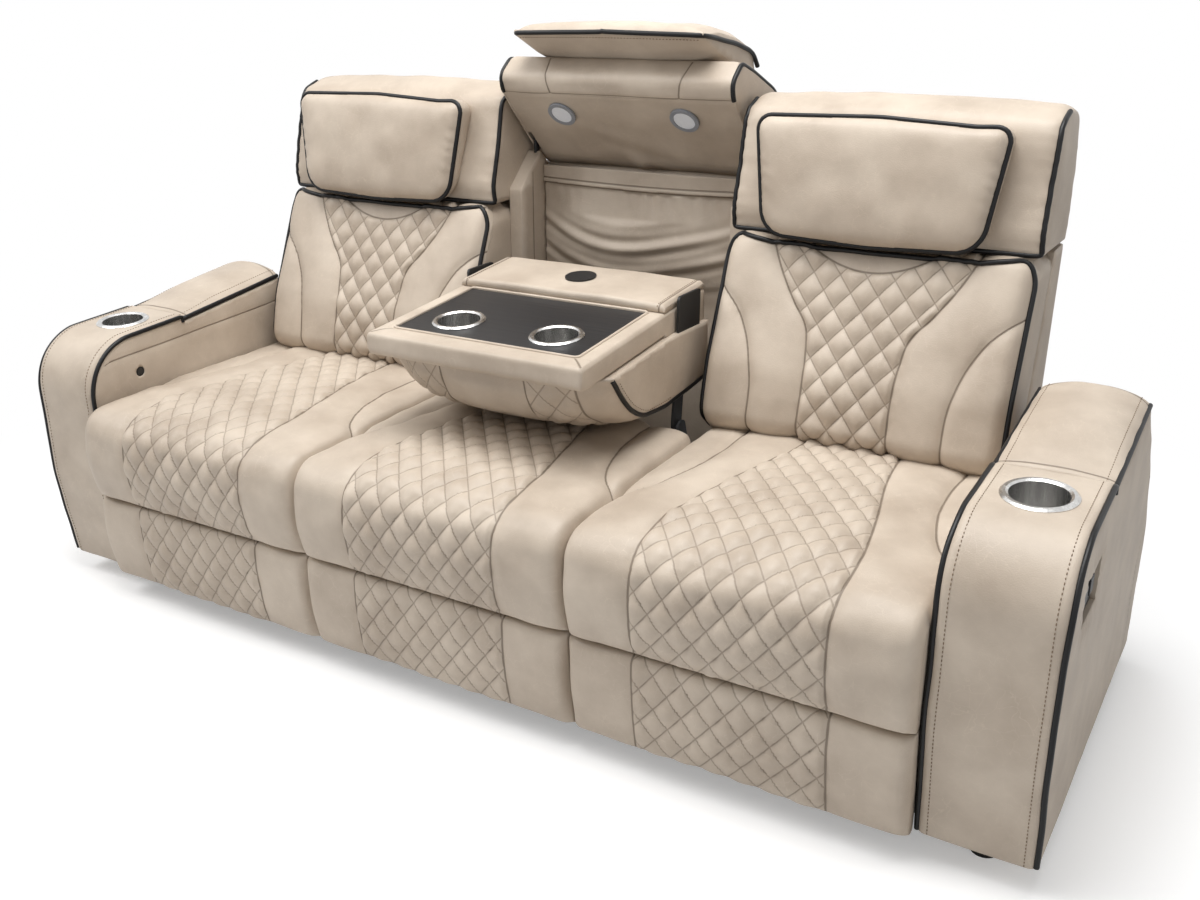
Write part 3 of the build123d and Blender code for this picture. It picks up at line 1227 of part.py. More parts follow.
def console_lid():
    """Padded lid of the storage box with its hinge knuckle."""
    wires = []
    half = CONSOLE_HALF - 2
    for share, crown in ((-1, 0.0), (-0.94, 0.4), (-0.7, 0.8), (0, 1.0), (0.7, 0.8), (0.94, 0.4), (1, 0.0)):
        rise = CONSOLE_LID + CONSOLE_LID_CROWN * crown
        low_front, low_rear = tray_top(BOX_FRONT) + 0.6, tray_top(BOX_REAR) + 0.6
        wires.append(rounded_loop(side_plane(share * half), [
            (BOX_FRONT, low_front, 1), (BOX_FRONT, low_front + rise, 6),
            (BOX_REAR, low_rear + rise, 6), (BOX_REAR, low_rear, 1)]))
    lid = Solid.make_loft(wires, ruled=True)
    y, z = console_lid_pivot()
    lid = lid + cylinder_x(LID_PIN_RADIUS + 2, -60, 60, (y, z))
    lid = lid + box((-60, 60), (BOX_REAR - 8, y), (z + 2, z + 5))
    return lid - cylinder_x(LID_PIN_RADIUS + PIN_FIT, -61, 61, (y, z))


def console_charger():
    """Charging disc in the middle of the console lid."""
    height = tray_top(CHARGER_Y) + 0.6 + CONSOLE_LID + CONSOLE_LID_CROWN
    base = Location((0, CHARGER_Y, height), (TRAY_SLOPE, 0, 0))
    return Solid.make_cylinder(CHARGER_RADIUS, 3.0, Plane.XY.offset(0.3)).moved(base)


def console_inlay():
    """Grained inlay of the table with a hole for each cup."""
    low = tray_top(INLAY_FRONT) - INLAY_THICKNESS + 0.1
    high = tray_top(INLAY_REAR) - INLAY_THICKNESS + 0.1
    fit = 0.3
    inlay = bar([(INLAY_FRONT + fit, low, 0.2), (INLAY_FRONT + fit, low + INLAY_THICKNESS, 0.5),
                 (INLAY_REAR - fit, high + INLAY_THICKNESS, 0.5), (INLAY_REAR - fit, high, 0.2)],
                -INLAY_HALF + fit, INLAY_HALF - fit)
    for sign in (-1, 1):
        inlay = inlay - cup_pocket(CUP_FIT, 20).moved(tray_place(sign * TABLE_CUP_X, TABLE_CUP_Y))
    return inlay


def console_cups():
    cup = cup_liner(TABLE_CUP_RADIUS, TABLE_CUP_RING, TABLE_CUP_DEPTH)
    lift = Location((0, 0, 0.3))
    return [cup.moved(tray_place(sign * TABLE_CUP_X, TABLE_CUP_Y) * lift) for sign in (-1, 1)]


def blend(first, second, weight):
    return tuple(a + (b - a) * weight for a, b in zip(first, second))


def places_along(points, count):
    """count + 1 (y, z) places evenly along straight runs between the points."""
    lengths = [hypot(b[0] - a[0], b[1] - a[1]) for a, b in zip(points, points[1:])]
    total = sum(lengths)
    stops = [(0.0, points[0])]
    for length, point in zip(lengths, points[1:]):
        stops.append((stops[-1][0] + length / total, point))
    ys = [(share, point[0]) for share, point in stops]
    zs = [(share, point[1]) for share, point in stops]
    return [(table(ys, i / count), table(zs, i / count)) for i in range(count + 1)]


def console_cushion():
    """Padding under the table: it is the middle back cushion when the console is shut."""
    rows = CONSOLE_ROWS
    side = places_along(CONSOLE_SIDE, rows)
    middle = places_along(CONSOLE_MIDDLE, rows)
    split = rows * 4 // 7
    front = []
    back = []
    for j in range(rows + 1):
        row = []
        for i in range(CONSOLE_COLUMNS + 1):
            x = CONSOLE_HALF * (2 * i / CONSOLE_COLUMNS - 1)
            weight = 1 - (x / CONSOLE_HALF) ** 4
            y, z = blend(side[j], middle[j], weight)
            if j == 0:
                z = tray_under(y) - SOFT_GAP
            row.append((x, y, z))
        front.append(row)
        if j <= split:
            y = CONSOLE_SIDE[0][0] + 4 + (BOX_FRONT - SOFT_GAP - CONSOLE_SIDE[0][0] - 4) * j / split
            z = tray_under(y) - SOFT_GAP
        else:
            share = (j - split - 1) / (rows - split - 1)
            y = BOX_FRONT - SOFT_GAP + (BOX_REAR - BOX_FRONT + SOFT_GAP) * share
            z = box_under(y) - SOFT_GAP
        back.append(((-CONSOLE_HALF, y, z), (CONSOLE_HALF, y, z)))
    cushion = grid_solid(front, back, flat_sides=True)
    for sign in (-1, 1):
        pocket = cup_pocket(2, TABLE_CUP_DEPTH + 6)
        cushion = cushion - pocket.moved(tray_place(sign * TABLE_CUP_X, TABLE_CUP_Y))
    return cushion


def console_arms():
    """Black steel plate on each side of the console, bored for its pivot."""
    solids = []
    for sign in (-1, 1):
        low, high = sorted((sign * ARM_PLATE_X, sign * (ARM_PLATE_X + ARM_PLATE)))
        plate = bar(CONSOLE_ARM_OUTLINE, low, high)
        for point in CONSOLE_SCREWS:
            plate = plate + cylinder_x(8, *sorted((sign * CONSOLE_HALF, sign * (ARM_PLATE_X + 1))), point)
        plate = plate - cylinder_x(CONSOLE_PIN_RADIUS + PIN_FIT, low - 1, high + 1, CONSOLE_PIVOT)
        solids += as_solids(plate)
    return solids


def console_ears():
    """Fixed ears on the rear deck rail with the pins that the console swings on."""
    solids = []
    outer = ARM_PLATE_X + ARM_PLATE + EAR_GAP
    for sign in (-1, 1):
        low, high = sorted((sign * outer, sign * (outer + 5)))
        ear = bar(CONSOLE_EAR_OUTLINE, low, high)
        pin_low, pin_high = sorted((sign * (ARM_PLATE_X - 2), sign * (outer + 5)))
        solids += as_solids(ear + cylinder_x(CONSOLE_PIN_RADIUS, pin_low, pin_high, CONSOLE_PIVOT))
    return solids


def console():
    parts["console_tray"] = as_solids(console_tray())
    parts["console_inlay"] = as_solids(console_inlay())
    parts["console_cups"] = console_cups()
    parts["console_cushion"] = as_solids(console_cushion())
    parts["console_arms"] = console_arms()
    parts["console_lid"] = as_solids(console_lid())
    parts["console_charger"] = as_solids(console_charger())
    parts["console_ears"] = console_ears()


def power_box():
    """Supply box on the rear rail, under the console."""
    low = RAIL_BOTTOM + RAIL_HEIGHT
    solid = box((-90, 90), (REAR_RAIL[0] - 70, REAR_RAIL[1] - 4), (low, low + 52))
    parts["power_box"] = [chamfer(solid.edges(), 3).solid()]


# ================================================================ build
def export_parts():
    os.makedirs("parts", exist_ok=True)
    for node, solids in parts.items():
        shape = solids[0] if len(solids) == 1 else Compound(solids)
        shape.label = node
        export_step(shape, f"parts/{node}.step")


base_rails()
glide_feet()
mechanism_plates()
seat_springs()
power_box()
seat_cushions()
parts["centre_front_panel"] = centre_front_panel()
recline_mechanisms()
arms()
outer_backs()
centre_back()
console()
export_parts()
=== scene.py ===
"""Looks of the three-seat reclining sofa with a drop down console.

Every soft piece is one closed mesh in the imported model's frame: a side outline is
swept across the sofa, then crowned, quilted and drawn in at its seams. Sizes in the
classes are millimetres and are turned into metres where a mesh is made.
"""

import json
import logging
import math
from dataclasses import dataclass, field
from enum import Enum
from typing import Callable, Optional, Sequence

import bmesh
import bpy
import numpy as np
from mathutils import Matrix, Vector
from mathutils.geometry import delaunay_2d_cdt
from mathutils.kdtree import KDTree

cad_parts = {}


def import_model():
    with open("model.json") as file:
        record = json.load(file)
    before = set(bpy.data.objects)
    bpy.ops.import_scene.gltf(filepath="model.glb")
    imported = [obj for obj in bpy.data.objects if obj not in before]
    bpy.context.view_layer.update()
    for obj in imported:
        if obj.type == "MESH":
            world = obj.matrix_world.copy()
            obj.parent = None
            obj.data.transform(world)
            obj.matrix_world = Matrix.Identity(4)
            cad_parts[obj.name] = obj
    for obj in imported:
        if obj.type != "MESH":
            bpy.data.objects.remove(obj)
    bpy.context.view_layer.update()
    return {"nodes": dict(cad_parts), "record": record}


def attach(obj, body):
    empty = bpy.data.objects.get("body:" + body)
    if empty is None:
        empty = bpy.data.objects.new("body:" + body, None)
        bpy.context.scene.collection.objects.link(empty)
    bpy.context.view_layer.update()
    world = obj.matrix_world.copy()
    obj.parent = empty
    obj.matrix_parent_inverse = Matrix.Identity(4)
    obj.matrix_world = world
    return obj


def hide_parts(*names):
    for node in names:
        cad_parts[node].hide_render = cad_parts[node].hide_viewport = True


logging.basicConfig(level=logging.INFO, format="%(name)s: %(message)s")
LOG = logging.getLogger("sofa")

MM = 0.001
DIAMOND = 52.0          # width of one quilted diamond
TALL = 64.0             # height of one quilted diamond
NOTCH = 7.0             # the quilting lies flat over this width beside a seam
FAR = 99.0              # a seam that this piece doesn't have lies this far away
PIPE = 4.8              # radius of the black piping
STITCH = 7.0            # from one topstitch to the next
THREAD_SIZE = 1.7       # thickness of a stitch
TUBE_STEP = 6.0         # from one ring of a piping's tube to the next
SEAT_PITCH = 600.0      # from one seat's middle to the next
BOTH = (-1, 1)          # left and right
BOX = [(0, 1, 3, 2), (4, 6, 7, 5), (0, 4, 5, 1), (2, 3, 7, 6), (0, 2, 6, 4), (1, 5, 7, 3)]

Array = np.ndarray
Thing = bpy.types.Object
Mesh = bpy.types.Mesh
Material = bpy.types.Material
Tree = bpy.types.NodeTree
Node = bpy.types.Node
Socket = bpy.types.NodeSocket
Pairs = Sequence[tuple[float, float]]
Corner = tuple[float, float, float, float, float]
Span = tuple[float, float]


# ---------------------------------------------------------------- numbers and curves
def linear(code: str) -> tuple[float, float, float, float]:
    """Turn an sRGB hex colour into a linear one.

    Args:
        code: Six hex digits.

    Returns:
        Red, green, blue and an alpha of 1.
    """
    parts = [int(code[i:i + 2], 16) / 255 for i in (0, 2, 4)]
    return (*[p / 12.92 if p <= 0.04045 else ((p + 0.055) / 1.055) ** 2.4 for p in parts], 1.0)


def spread(pairs: Pairs, value: Array) -> Array:
    """Read a table of (value, result) pairs along a smooth curve.

    Args:
        pairs: Pairs in rising order of value.
        value: Where to read it.

    Returns:
        The results, held at the ends.
    """
    known = np.array(pairs, float)
    slopes = np.gradient(known[:, 1], known[:, 0])
    at = np.clip(value, known[0, 0], known[-1, 0])
    k = np.clip(np.searchsorted(known[:, 0], at, side="right") - 1, 0, len(known) - 2)
    width = known[k + 1, 0] - known[k, 0]
    t = (at - known[k, 0]) / width
    low, high = known[k, 1], known[k + 1, 1]
    return (low * (1 + 2 * t) * (1 - t) ** 2 + slopes[k] * width * t * (1 - t) ** 2
            + high * t * t * (3 - 2 * t) + slopes[k + 1] * width * t * t * (t - 1))


def step_up(value: Array, low: float, high: float) -> Array:
    """Rise smoothly from 0 at low to 1 at high."""
    t = np.clip((value - low) / (high - low), 0, 1)
    return t * t * (3 - 2 * t)


def swell(distance: Array, height: float, reach: float) -> Array:
    """Rise from 0 at a seam to a height, most of it within reach."""
    return height * (1 - np.exp(-np.abs(distance) / reach))


def dip(distance: Array, height: float, reach: float) -> Array:
    """Fall off from a height at a seam to 0, most of it within reach."""
    return height * np.exp(-np.abs(distance) / reach)


def ridge(distance: Array, height: float, reach: float) -> Array:
    """Rise to a height at a seam and fall off smoothly to either side of it."""
    return height * np.exp(-(distance / reach) ** 2)


def ripple(points: Array, size: float, seed: int) -> Array:
    """Smooth unevenness of padded leather, about -1 to 1.

    Args:
        points: Places in millimetres, the last axis being x, y, z.
        size: Typical distance from one swelling to the next, millimetres.
        seed: Number that fixes the pattern.

    Returns:
        One value for each place.
    """
    source = np.random.default_rng(seed)
    total = np.zeros(points.shape[:-1])
    for _ in range(9):
        way = source.normal(size=3)
        way *= source.uniform(0.6, 1.5) * 2 * math.pi / size / np.linalg.norm(way)
        total += np.sin(points @ way + source.uniform(0, 2 * math.pi))
    return total / 4.5


def smooth_path(points: Sequence[Sequence[float]], spacing: float) -> Array:
    """Run a smooth curve through points.

    Args:
        points: At least two places.
        spacing: Distance from one returned place to the next.

    Returns:
        Places along the curve.
    """
    known = np.array(points, float)
    padded = np.vstack([2 * known[0] - known[1], known, 2 * known[-1] - known[-2]])
    places = [known[0]]
    for i in range(1, len(padded) - 2):
        a, b, c, d = padded[i - 1:i + 3]
        count = max(2, int(np.linalg.norm(c - b) / spacing))
        for t in np.linspace(0, 1, count + 1)[1:]:
            places.append(0.5 * (2 * b + (c - a) * t + (2 * a - 5 * b + 4 * c - d) * t * t
                                 + (3 * b - a - 3 * c + d) * t ** 3))
    return np.array(places)


def even_path(points: Array, spacing: float, count: int = 0) -> Array:
    """Lay evenly spaced places along a line.

    Args:
        points: Places of the line.
        spacing: Distance from one returned place to the next.
        count: Number of places, in place of the spacing.

    Returns:
        The places.
    """
    runs = np.linalg.norm(np.diff(points, axis=0), axis=1)
    passed = np.concatenate([[0], np.cumsum(runs)])
    wanted = np.linspace(0, passed[-1], count or max(2, round(passed[-1] / spacing) + 1))
    return np.stack([np.interp(wanted, passed, points[:, k]) for k in range(points.shape[1])], -1)


def rounded_corners(corners: Sequence[Sequence[float]], step: float,
                    counts: Optional[list[tuple[int, int]]] = None) -> tuple[Array, list[tuple[int, int]]]:
    """Sample a closed loop of straight runs and round corners.

    Args:
        corners: (a, b, radius) of each corner.
        step: Distance between samples.
        counts: Samples on each corner and run, to repeat an earlier sampling.

    Returns:
        The samples and the counts that were used.
    """
    arcs = []
    used = []
    for index, (a, b, radius) in enumerate(corners):
        here = np.array((a, b), float)
        back = np.array(corners[index - 1][:2], float) - here
        ahead = np.array(corners[(index + 1) % len(corners)][:2], float) - here
        back_length, ahead_length = np.linalg.norm(back), np.linalg.norm(ahead)
        back, ahead = back / back_length, ahead / ahead_length
        half = math.acos(float(np.clip(back @ ahead, -0.9999, 0.9999))) / 2
        cut = min(radius / math.tan(half), 0.45 * back_length, 0.45 * ahead_length)
        bow = cut * math.tan(half)
        way = (back + ahead) / max(np.linalg.norm(back + ahead), 1e-9)
        centre = here + way * bow / math.sin(half)
        start, end = here + back * cut - centre, here + ahead * cut - centre
        sweep = math.pi - 2 * half
        number = counts[index][0] if counts else max(2, math.ceil(bow * sweep / step) + 1)
        turn = np.linspace(0, 1, number)[:, None]
        spin = max(math.sin(sweep), 1e-9)
        arcs.append(centre + (np.sin((1 - turn) * sweep) * start + np.sin(turn * sweep) * end) / spin)
        used.append([number, 0])
    samples = []
    for index, arc in enumerate(arcs):
        following = arcs[(index + 1) % len(arcs)][0]
        gap = np.linalg.norm(following - arc[-1])
        number = counts[index][1] if counts else max(0, round(gap / step) - 1)
        used[index][1] = number
        samples.append(arc)
        for k in range(number):
            samples.append((arc[-1] + (following - arc[-1]) * (k + 1) / (number + 1))[None])
    return np.vstack(samples), [tuple(pair) for pair in used]


# ---------------------------------------------------------------- meshes
def link_object(name: str, data: bpy.types.ID) -> Thing:
    """Make an object of some data and link it to the scene."""
    made = bpy.data.objects.new(name, data)
    bpy.context.scene.collection.objects.link(made)
    return made


def make_object(name: str, verts: Array, faces: Sequence[Sequence[int]],
                material: Material, pattern: Optional[Array] = None,
                seams: Optional[Array] = None) -> Thing:
    """Make a smooth mesh object in metres from places in millimetres.

    Args:
        name: Name of the object.
        verts: Places, one row each.
        faces: Index lists, facing outwards.
        material: Finish of the whole piece.
        pattern: UV pair of each vertex, in diamonds.
        seams: Signed distances of each vertex from three seams, millimetres.

    Returns:
        The linked object.
    """
    mesh = bpy.data.meshes.new(name)
    mesh.from_pydata((np.asarray(verts) * MM).tolist(), [], [list(map(int, f)) for f in faces])
    mesh.update()
    if pattern is not None and seams is not None:
        store_sewing(mesh, pattern, seams)
    mesh.shade_smooth()
    mesh.materials.append(material)
    return link_object(name, mesh)


def store_sewing(mesh: Mesh, pattern: Array, seams: Array) -> None:
    """Store each vertex's place in the quilting and its distances from the seams.

    Args:
        mesh: The mesh.
        pattern: UV pair of each vertex, in diamonds.
        seams: Signed distances of each vertex from three seams, millimetres.
    """
    layer = mesh.uv_layers.get("pattern") or mesh.uv_layers.new(name="pattern")
    corner = np.zeros(len(mesh.loops), np.int32)
    mesh.loops.foreach_get("vertex_index", corner)
    layer.data.foreach_set("uv", np.asarray(pattern, np.float32)[corner].ravel())
    stored = mesh.attributes.get("seams") or mesh.attributes.new("seams", "FLOAT_VECTOR", "POINT")
    stored.data.foreach_set("vector", np.asarray(seams, np.float32).ravel())


def grid_faces(rows: int, columns: int, closed_rows: bool, flip: bool) -> Array:
    """Quads of a grid of rows by columns vertices.

    Args:
        rows: Number of rows.
        columns: Number of vertices in a row.
        closed_rows: Whether the last row meets the first.
        flip: Whether the faces turn over.

    Returns:
        One row of four indices for each face.
    """
    r = np.arange(rows if closed_rows else rows - 1)[:, None]
    c = np.arange(columns - 1)[None, :]
    after = (r + 1) % rows
    quads = np.stack([r * columns + c, r * columns + c + 1, after * columns + c + 1, after * columns + c], -1)
    quads = quads.reshape(-1, 4)
    return quads[:, ::-1] if flip else quads


def grid_normals(grid: Array) -> Array:
    """Unit normals of a grid whose rows close round, by central differences."""
    down = np.roll(grid, -1, axis=0) - np.roll(grid, 1, axis=0)
    normal = np.cross(np.gradient(grid, axis=1), down)
    return normal / np.maximum(np.linalg.norm(normal, axis=2, keepdims=True), 1e-9)


def keep_mesh(made: Thing) -> Thing:
    """Turn an object's modifiers into its plain mesh."""
    graph = bpy.context.evaluated_depsgraph_get()
    mesh = bpy.data.meshes.new_from_object(made.evaluated_get(graph))
    mesh.name = made.name
    made.modifiers.clear()
    if made.type == "MESH":
        made.data = mesh
        return made
    name = made.name
    bpy.data.objects.remove(made)
    return link_object(name, mesh)


def face_outwards(made: Thing) -> None:
    """Turn every face of a closed mesh outwards."""
    shape = bmesh.new()
    shape.from_mesh(made.data)
    bmesh.ops.recalc_face_normals(shape, faces=shape.faces)
    shape.to_mesh(made.data)
    shape.free()


def mesh_places(mesh: Mesh) -> Array:
    """Places of a mesh's vertices, in metres."""
    flat = np.zeros(len(mesh.vertices) * 3)
    mesh.vertices.foreach_get("co", flat)
    return flat.reshape(-1, 3)


def cut_away(made: Thing, cutter: Thing, crossing: bool = False) -> Thing:
    """Take a closed cutter out of a piece and remove the cutter.

    Args:
        made: The piece; its stored seams and pattern are carried over.
        cutter: Closed mesh that is taken away.
        crossing: Whether shapes of the cutter cross one another.

    Returns:
        The piece.
    """
    before = mesh_places(made.data)
    search = KDTree(len(before))
    for index, place in enumerate(before):
        search.insert(place, index)
    search.balance()
    seams = np.full(len(before) * 3, FAR)
    if "seams" in made.data.attributes:
        made.data.attributes["seams"].data.foreach_get("vector", seams)
    pattern = np.zeros((len(before), 2))
    if made.data.uv_layers:
        corner, uv = np.zeros(len(made.data.loops), np.int32), np.zeros(len(made.data.loops) * 2)
        made.data.loops.foreach_get("vertex_index", corner)
        made.data.uv_layers[0].data.foreach_get("uv", uv)
        pattern[corner] = uv.reshape(-1, 2)
    tool = made.modifiers.new("cut", "BOOLEAN")
    tool.operation = "DIFFERENCE"
    tool.solver = "EXACT"
    tool.use_self = crossing
    tool.object = cutter
    bpy.context.view_layer.update()
    keep_mesh(made)
    bpy.data.objects.remove(cutter)
    found = [search.find(place)[1:] for place in mesh_places(made.data)]
    nearest = np.array([index for index, _ in found])
    kept = np.array([distance < 0.02 * MM for _, distance in found])
    store_sewing(made.data, pattern[nearest], np.where(kept[:, None], seams.reshape(-1, 3)[nearest], FAR))
    return made


# ---------------------------------------------------------------- finishes
def feed(tree: Tree, made: Node, inputs: dict) -> None:
    """Set or link inputs of a node.

    Args:
        tree: Tree that holds the node.
        made: The node.
        inputs: Value, output or node for each input, by the input's name or number;
            a node stands for its first output in use.
    """
    for key, source in inputs.items():
        if isinstance(source, Node):
            source = next(socket for socket in source.outputs if socket.enabled)
        if isinstance(source, Socket):
            tree.links.new(source, made.inputs[key])
        else:
            made.inputs[key].default_value = source


def node(tree: Tree, kind: str, inputs: Optional[dict] = None, **settings: object) -> Node:
    """Add a node with its settings, values and links.

    Args:
        tree: Tree that gets the node.
        kind: Type name of the node; a leading ShaderNode may be left out.
        inputs: What its inputs are fed, as in feed.
        **settings: Properties of the node itself.

    Returns:
        The new node.
    """
    made = tree.nodes.new(kind if "Node" in kind else "ShaderNode" + kind)
    for key, value in settings.items():
        setattr(made, key, value)
    feed(tree, made, inputs or {})
    return made


def blank_material(name: str) -> tuple[Material, Tree, Node, Socket]:
    """Start a material with its shader.

    Returns:
        The material, its node tree, its Principled shader and its Object coordinates.
    """
    material = bpy.data.materials.new(name)
    material.use_nodes = True
    tree = material.node_tree
    tree.nodes.clear()
    shader = node(tree, "BsdfPrincipled")
    node(tree, "OutputMaterial", {"Surface": shader})
    return material, tree, shader, node(tree, "TexCoord").outputs["Object"]


class Finish:
    """A finish of the sofa: builds its material once and hands it out."""

    name: str
    slot: str
    _made: dict[str, Material] = {}

    def material(self) -> Material:
        """The finish's material."""
        if self.name not in Finish._made:
            Finish._made[self.name] = self.build()
        return Finish._made[self.name]

    def build(self) -> Material:
        """Make the material."""
        raise NotImplementedError


class Sewing(Enum):
    """What is sewn into a leather surface."""

    PLAIN = "plain"
    SEAMED = "seamed"
    QUILTED = "quilted"


@dataclass(frozen=True)
class Leather(Finish):
    """Wiped, corrected grain upholstery leather: an even taupe coat that has been rubbed
    back, so it is mottled, shows pale crease veins and has a soft satin gloss."""

    name: str
    sewing: Sewing = Sewing.PLAIN
    slot: str = "taupe_leather"
    base: str = "bbad9d"
    pale: str = "cabdad"
    dark: str = "a39484"
    vein: str = "dccfbc"
    # colour of the painted shade in seam and quilting lines
    seam: str = "5d4f40"
    roughness: float = 0.47

    def build(self) -> Material:
        """Make the leather with its mottling, veins, grain and seam lines."""
        material, tree, shader, place = blank_material(self.name)
        # cloudy mottling of the wiped coat, patches about 120 mm and 30 mm across
        clouds = node(tree, "TexNoise", {"Vector": place, "Scale": 8.0, "Detail": 5.0, "Roughness": 0.55})
        blotch = node(tree, "MapRange", {"Value": clouds, "From Min": 0.32, "From Max": 0.68})
        coat = node(tree, "Mix", {"Factor": blotch, "A": linear(self.dark), "B": linear(self.pale)},
                    data_type="RGBA")
        even = node(tree, "Mix", {"Factor": 0.4, "A": coat, "B": linear(self.base)}, data_type="RGBA")
        # pale veins where the coat creased: broken lines, cells about 26 mm across
        shift = node(tree, "TexNoise", {"Vector": place, "Scale": 16.0, "Detail": 5.0})
        warped = node(tree, "Mix", {"Factor": 0.06, "A": place, "B": shift.outputs["Color"]},
                      data_type="VECTOR")
        cells = node(tree, "TexVoronoi", {"Vector": warped, "Scale": 38.0}, feature="DISTANCE_TO_EDGE")
        vein = node(tree, "MapRange", {"Value": cells.outputs["Distance"], "From Max": 0.02, "To Min": 1.0,
                                       "To Max": 0.0})
        patches = node(tree, "TexNoise", {"Vector": place, "Scale": 11.0, "Detail": 2.0})
        broken = node(tree, "MapRange", {"Value": patches, "From Min": 0.36, "From Max": 0.66, "To Max": 0.24})
        faint = node(tree, "Math", {0: vein, 1: broken}, operation="MULTIPLY")
        colour = node(tree, "Mix", {"Factor": faint, "A": even, "B": linear(self.vein)}, data_type="RGBA")
        # pebble grain, about 1.2 mm in the hide, drawn at 2 mm so that it shows
        grain = node(tree, "TexVoronoi", {"Vector": place, "Scale": 480.0})
        creases = node(tree, "TexNoise", {"Vector": place, "Scale": 70.0, "Detail": 6.0, "Roughness": 0.6})
        relief = node(tree, "Math", {0: grain.outputs["Distance"], 1: creases}, operation="ADD")
        normal = node(tree, "Bump", {"Height": relief, "Strength": 0.16, "Distance": 0.0012})
        if self.sewing is not Sewing.PLAIN:
            colour, normal = self.sew(tree, colour, normal)
        gloss = node(tree, "MapRange", {"Value": clouds, "From Min": 0.3, "From Max": 0.7,
                                        "To Min": self.roughness - 0.04, "To Max": self.roughness + 0.06})
        feed(tree, shader, {"Base Color": colour, "Roughness": gloss, "Normal": normal,
                            "Specular IOR Level": 0.42, "IOR": 1.5})
        return material

    def sew(self, tree: Tree, colour: Node,
            normal: Node) -> tuple[Node, Node]:
        """Draw seam lines, and diamond quilting lines inside the first seam, as grooves with painted shade.

        Args:
            tree: The leather's node tree.
            colour: Node that gives the plain leather's colour.
            normal: Node that gives the plain leather's normal.

        Returns:
            The nodes that give colour and normal with the seams.
        """
        stored = node(tree, "Attribute", attribute_name="seams").outputs["Vector"]
        seams = node(tree, "SeparateXYZ", {"Vector": stored}).outputs
        near, *others = [node(tree, "Math", {0: seams[k]}, operation="ABSOLUTE") for k in range(3)]
        for other in others:
            near = node(tree, "Math", {0: near, 1: other}, operation="MINIMUM")
        # a sewn seam shows about 1.5 mm of shadow
        lines = node(tree, "MapRange", {"Value": near, "From Min": 0.7, "From Max": 2.8, "To Min": 0.72,
                                        "To Max": 0.0}, interpolation_type="SMOOTHSTEP")
        if self.sewing is Sewing.QUILTED:
            pair = node(tree, "SeparateXYZ", {"Vector": node(tree, "UVMap", uv_map="pattern")}).outputs
            waves = []
            for operation in ("ADD", "SUBTRACT"):
                across = node(tree, "Math", {0: pair[0], 1: pair[1]}, operation=operation)
                waves.append(node(tree, "Math", {0: across, 1: 0.5}, operation="PINGPONG"))
            closest = node(tree, "Math", {0: waves[0], 1: waves[1]}, operation="MINIMUM")
            inside = node(tree, "Math", {0: seams[0], 1: 0.0}, operation="LESS_THAN")
            # a quilting line: painted shade of the crease along one run of stitches, about 1.2 mm wide; a
            # diamond is 52 mm
            stitch = node(tree, "MapRange", {"Value": closest, "From Min": 0.01, "From Max": 0.05,
                                             "To Min": 0.42, "To Max": 0.0}, interpolation_type="SMOOTHSTEP")
            quilt = node(tree, "Math", {0: stitch, 1: inside}, operation="MULTIPLY")
            lines = node(tree, "Math", {0: lines, 1: quilt}, operation="MAXIMUM")
        # painted shade: seam and quilting lines darken the leather towards the seam colour
        shade = node(tree, "Mix", {"Factor": lines, "A": colour, "B": linear(self.seam)}, data_type="RGBA")
        groove = node(tree, "Bump", {"Height": lines, "Normal": normal, "Strength": 0.8, "Distance": 0.0015},
                      invert=True)
        return shade, groove


@dataclass(frozen=True)
class Piping(Finish):
    """Black upholstery piping: smooth coated leather rolled round a cord, a low gloss."""

    name: str = "black_piping"
    slot: str = "black_plastic"
    base: str = "060607"
    other: str = "0f0f11"

    def build(self) -> Material:
        """Make the piping with a faint grain."""
        material, tree, shader, place = blank_material(self.name)
        grain = node(tree, "TexNoise", {"Vector": place, "Scale": 420.0, "Detail": 3.0})
        tone = node(tree, "Mix", {"Factor": grain, "A": linear(self.base), "B": linear(self.other)},
                    data_type="RGBA")
        bump = node(tree, "Bump", {"Height": grain, "Strength": 0.2, "Distance": 0.0006})
        feed(tree, shader, {"Base Color": tone, "Normal": bump, "Roughness": 0.38, "Specular IOR Level": 0.3})
        return material


@dataclass(frozen=True)
class Coating(Finish):
    """A painted, moulded or woven surface: one colour with a fine speckle in colour,
    gloss and relief, at the grain size of that material."""

    name: str
    slot: str
    base: str
    other: str
    grain: float                 # size of its grain, millimetres
    roughness: float
    metallic: float = 0.0
    relief: float = 0.12
    stretch: tuple[float, float, float] = (1.0, 1.0, 1.0)

    def build(self) -> Material:
        """Make the surface."""
        material, tree, shader, place = blank_material(self.name)
        laid = node(tree, "Mapping", {"Vector": place, "Scale": self.stretch})
        # one noise swelling is about a third of its scale's period
        grain = node(tree, "TexNoise", {"Vector": laid, "Scale": 330.0 / self.grain, "Detail": 4.0,
                                        "Roughness": 0.6})
        tone = node(tree, "Mix", {"Factor": grain, "A": linear(self.base), "B": linear(self.other)},
                    data_type="RGBA")
        gloss = node(tree, "MapRange", {"Value": grain, "To Min": self.roughness - 0.06,
                                        "To Max": self.roughness + 0.06})
        bump = node(tree, "Bump", {"Height": grain, "Strength": self.relief, "Distance": self.grain * MM * 0.4})
        feed(tree, shader, {"Base Color": tone, "Roughness": gloss, "Normal": bump, "Metallic": self.metallic})
        return material


PLAIN = Leather("wiped_leather_plain")
SEAMED = Leather("wiped_leather_seamed", Sewing.SEAMED)
QUILTED = Leather("wiped_leather_quilted", Sewing.QUILTED)
PIPING = Piping()
# bonded nylon: twisted thread, dull, darker than the leather it sinks into
THREAD = Coating("bonded_nylon_thread", "taupe_leather", "5c4c3a", "8a7760", 0.6, 0.6)
# powder coat on pressed steel: even near black with a slight orange peel
BLACK_STEEL = Coating("black_powder_coated_steel", "black_steel", "0e0f10", "1b1c1e", 1.2, 0.5, 0.0, 0.2)
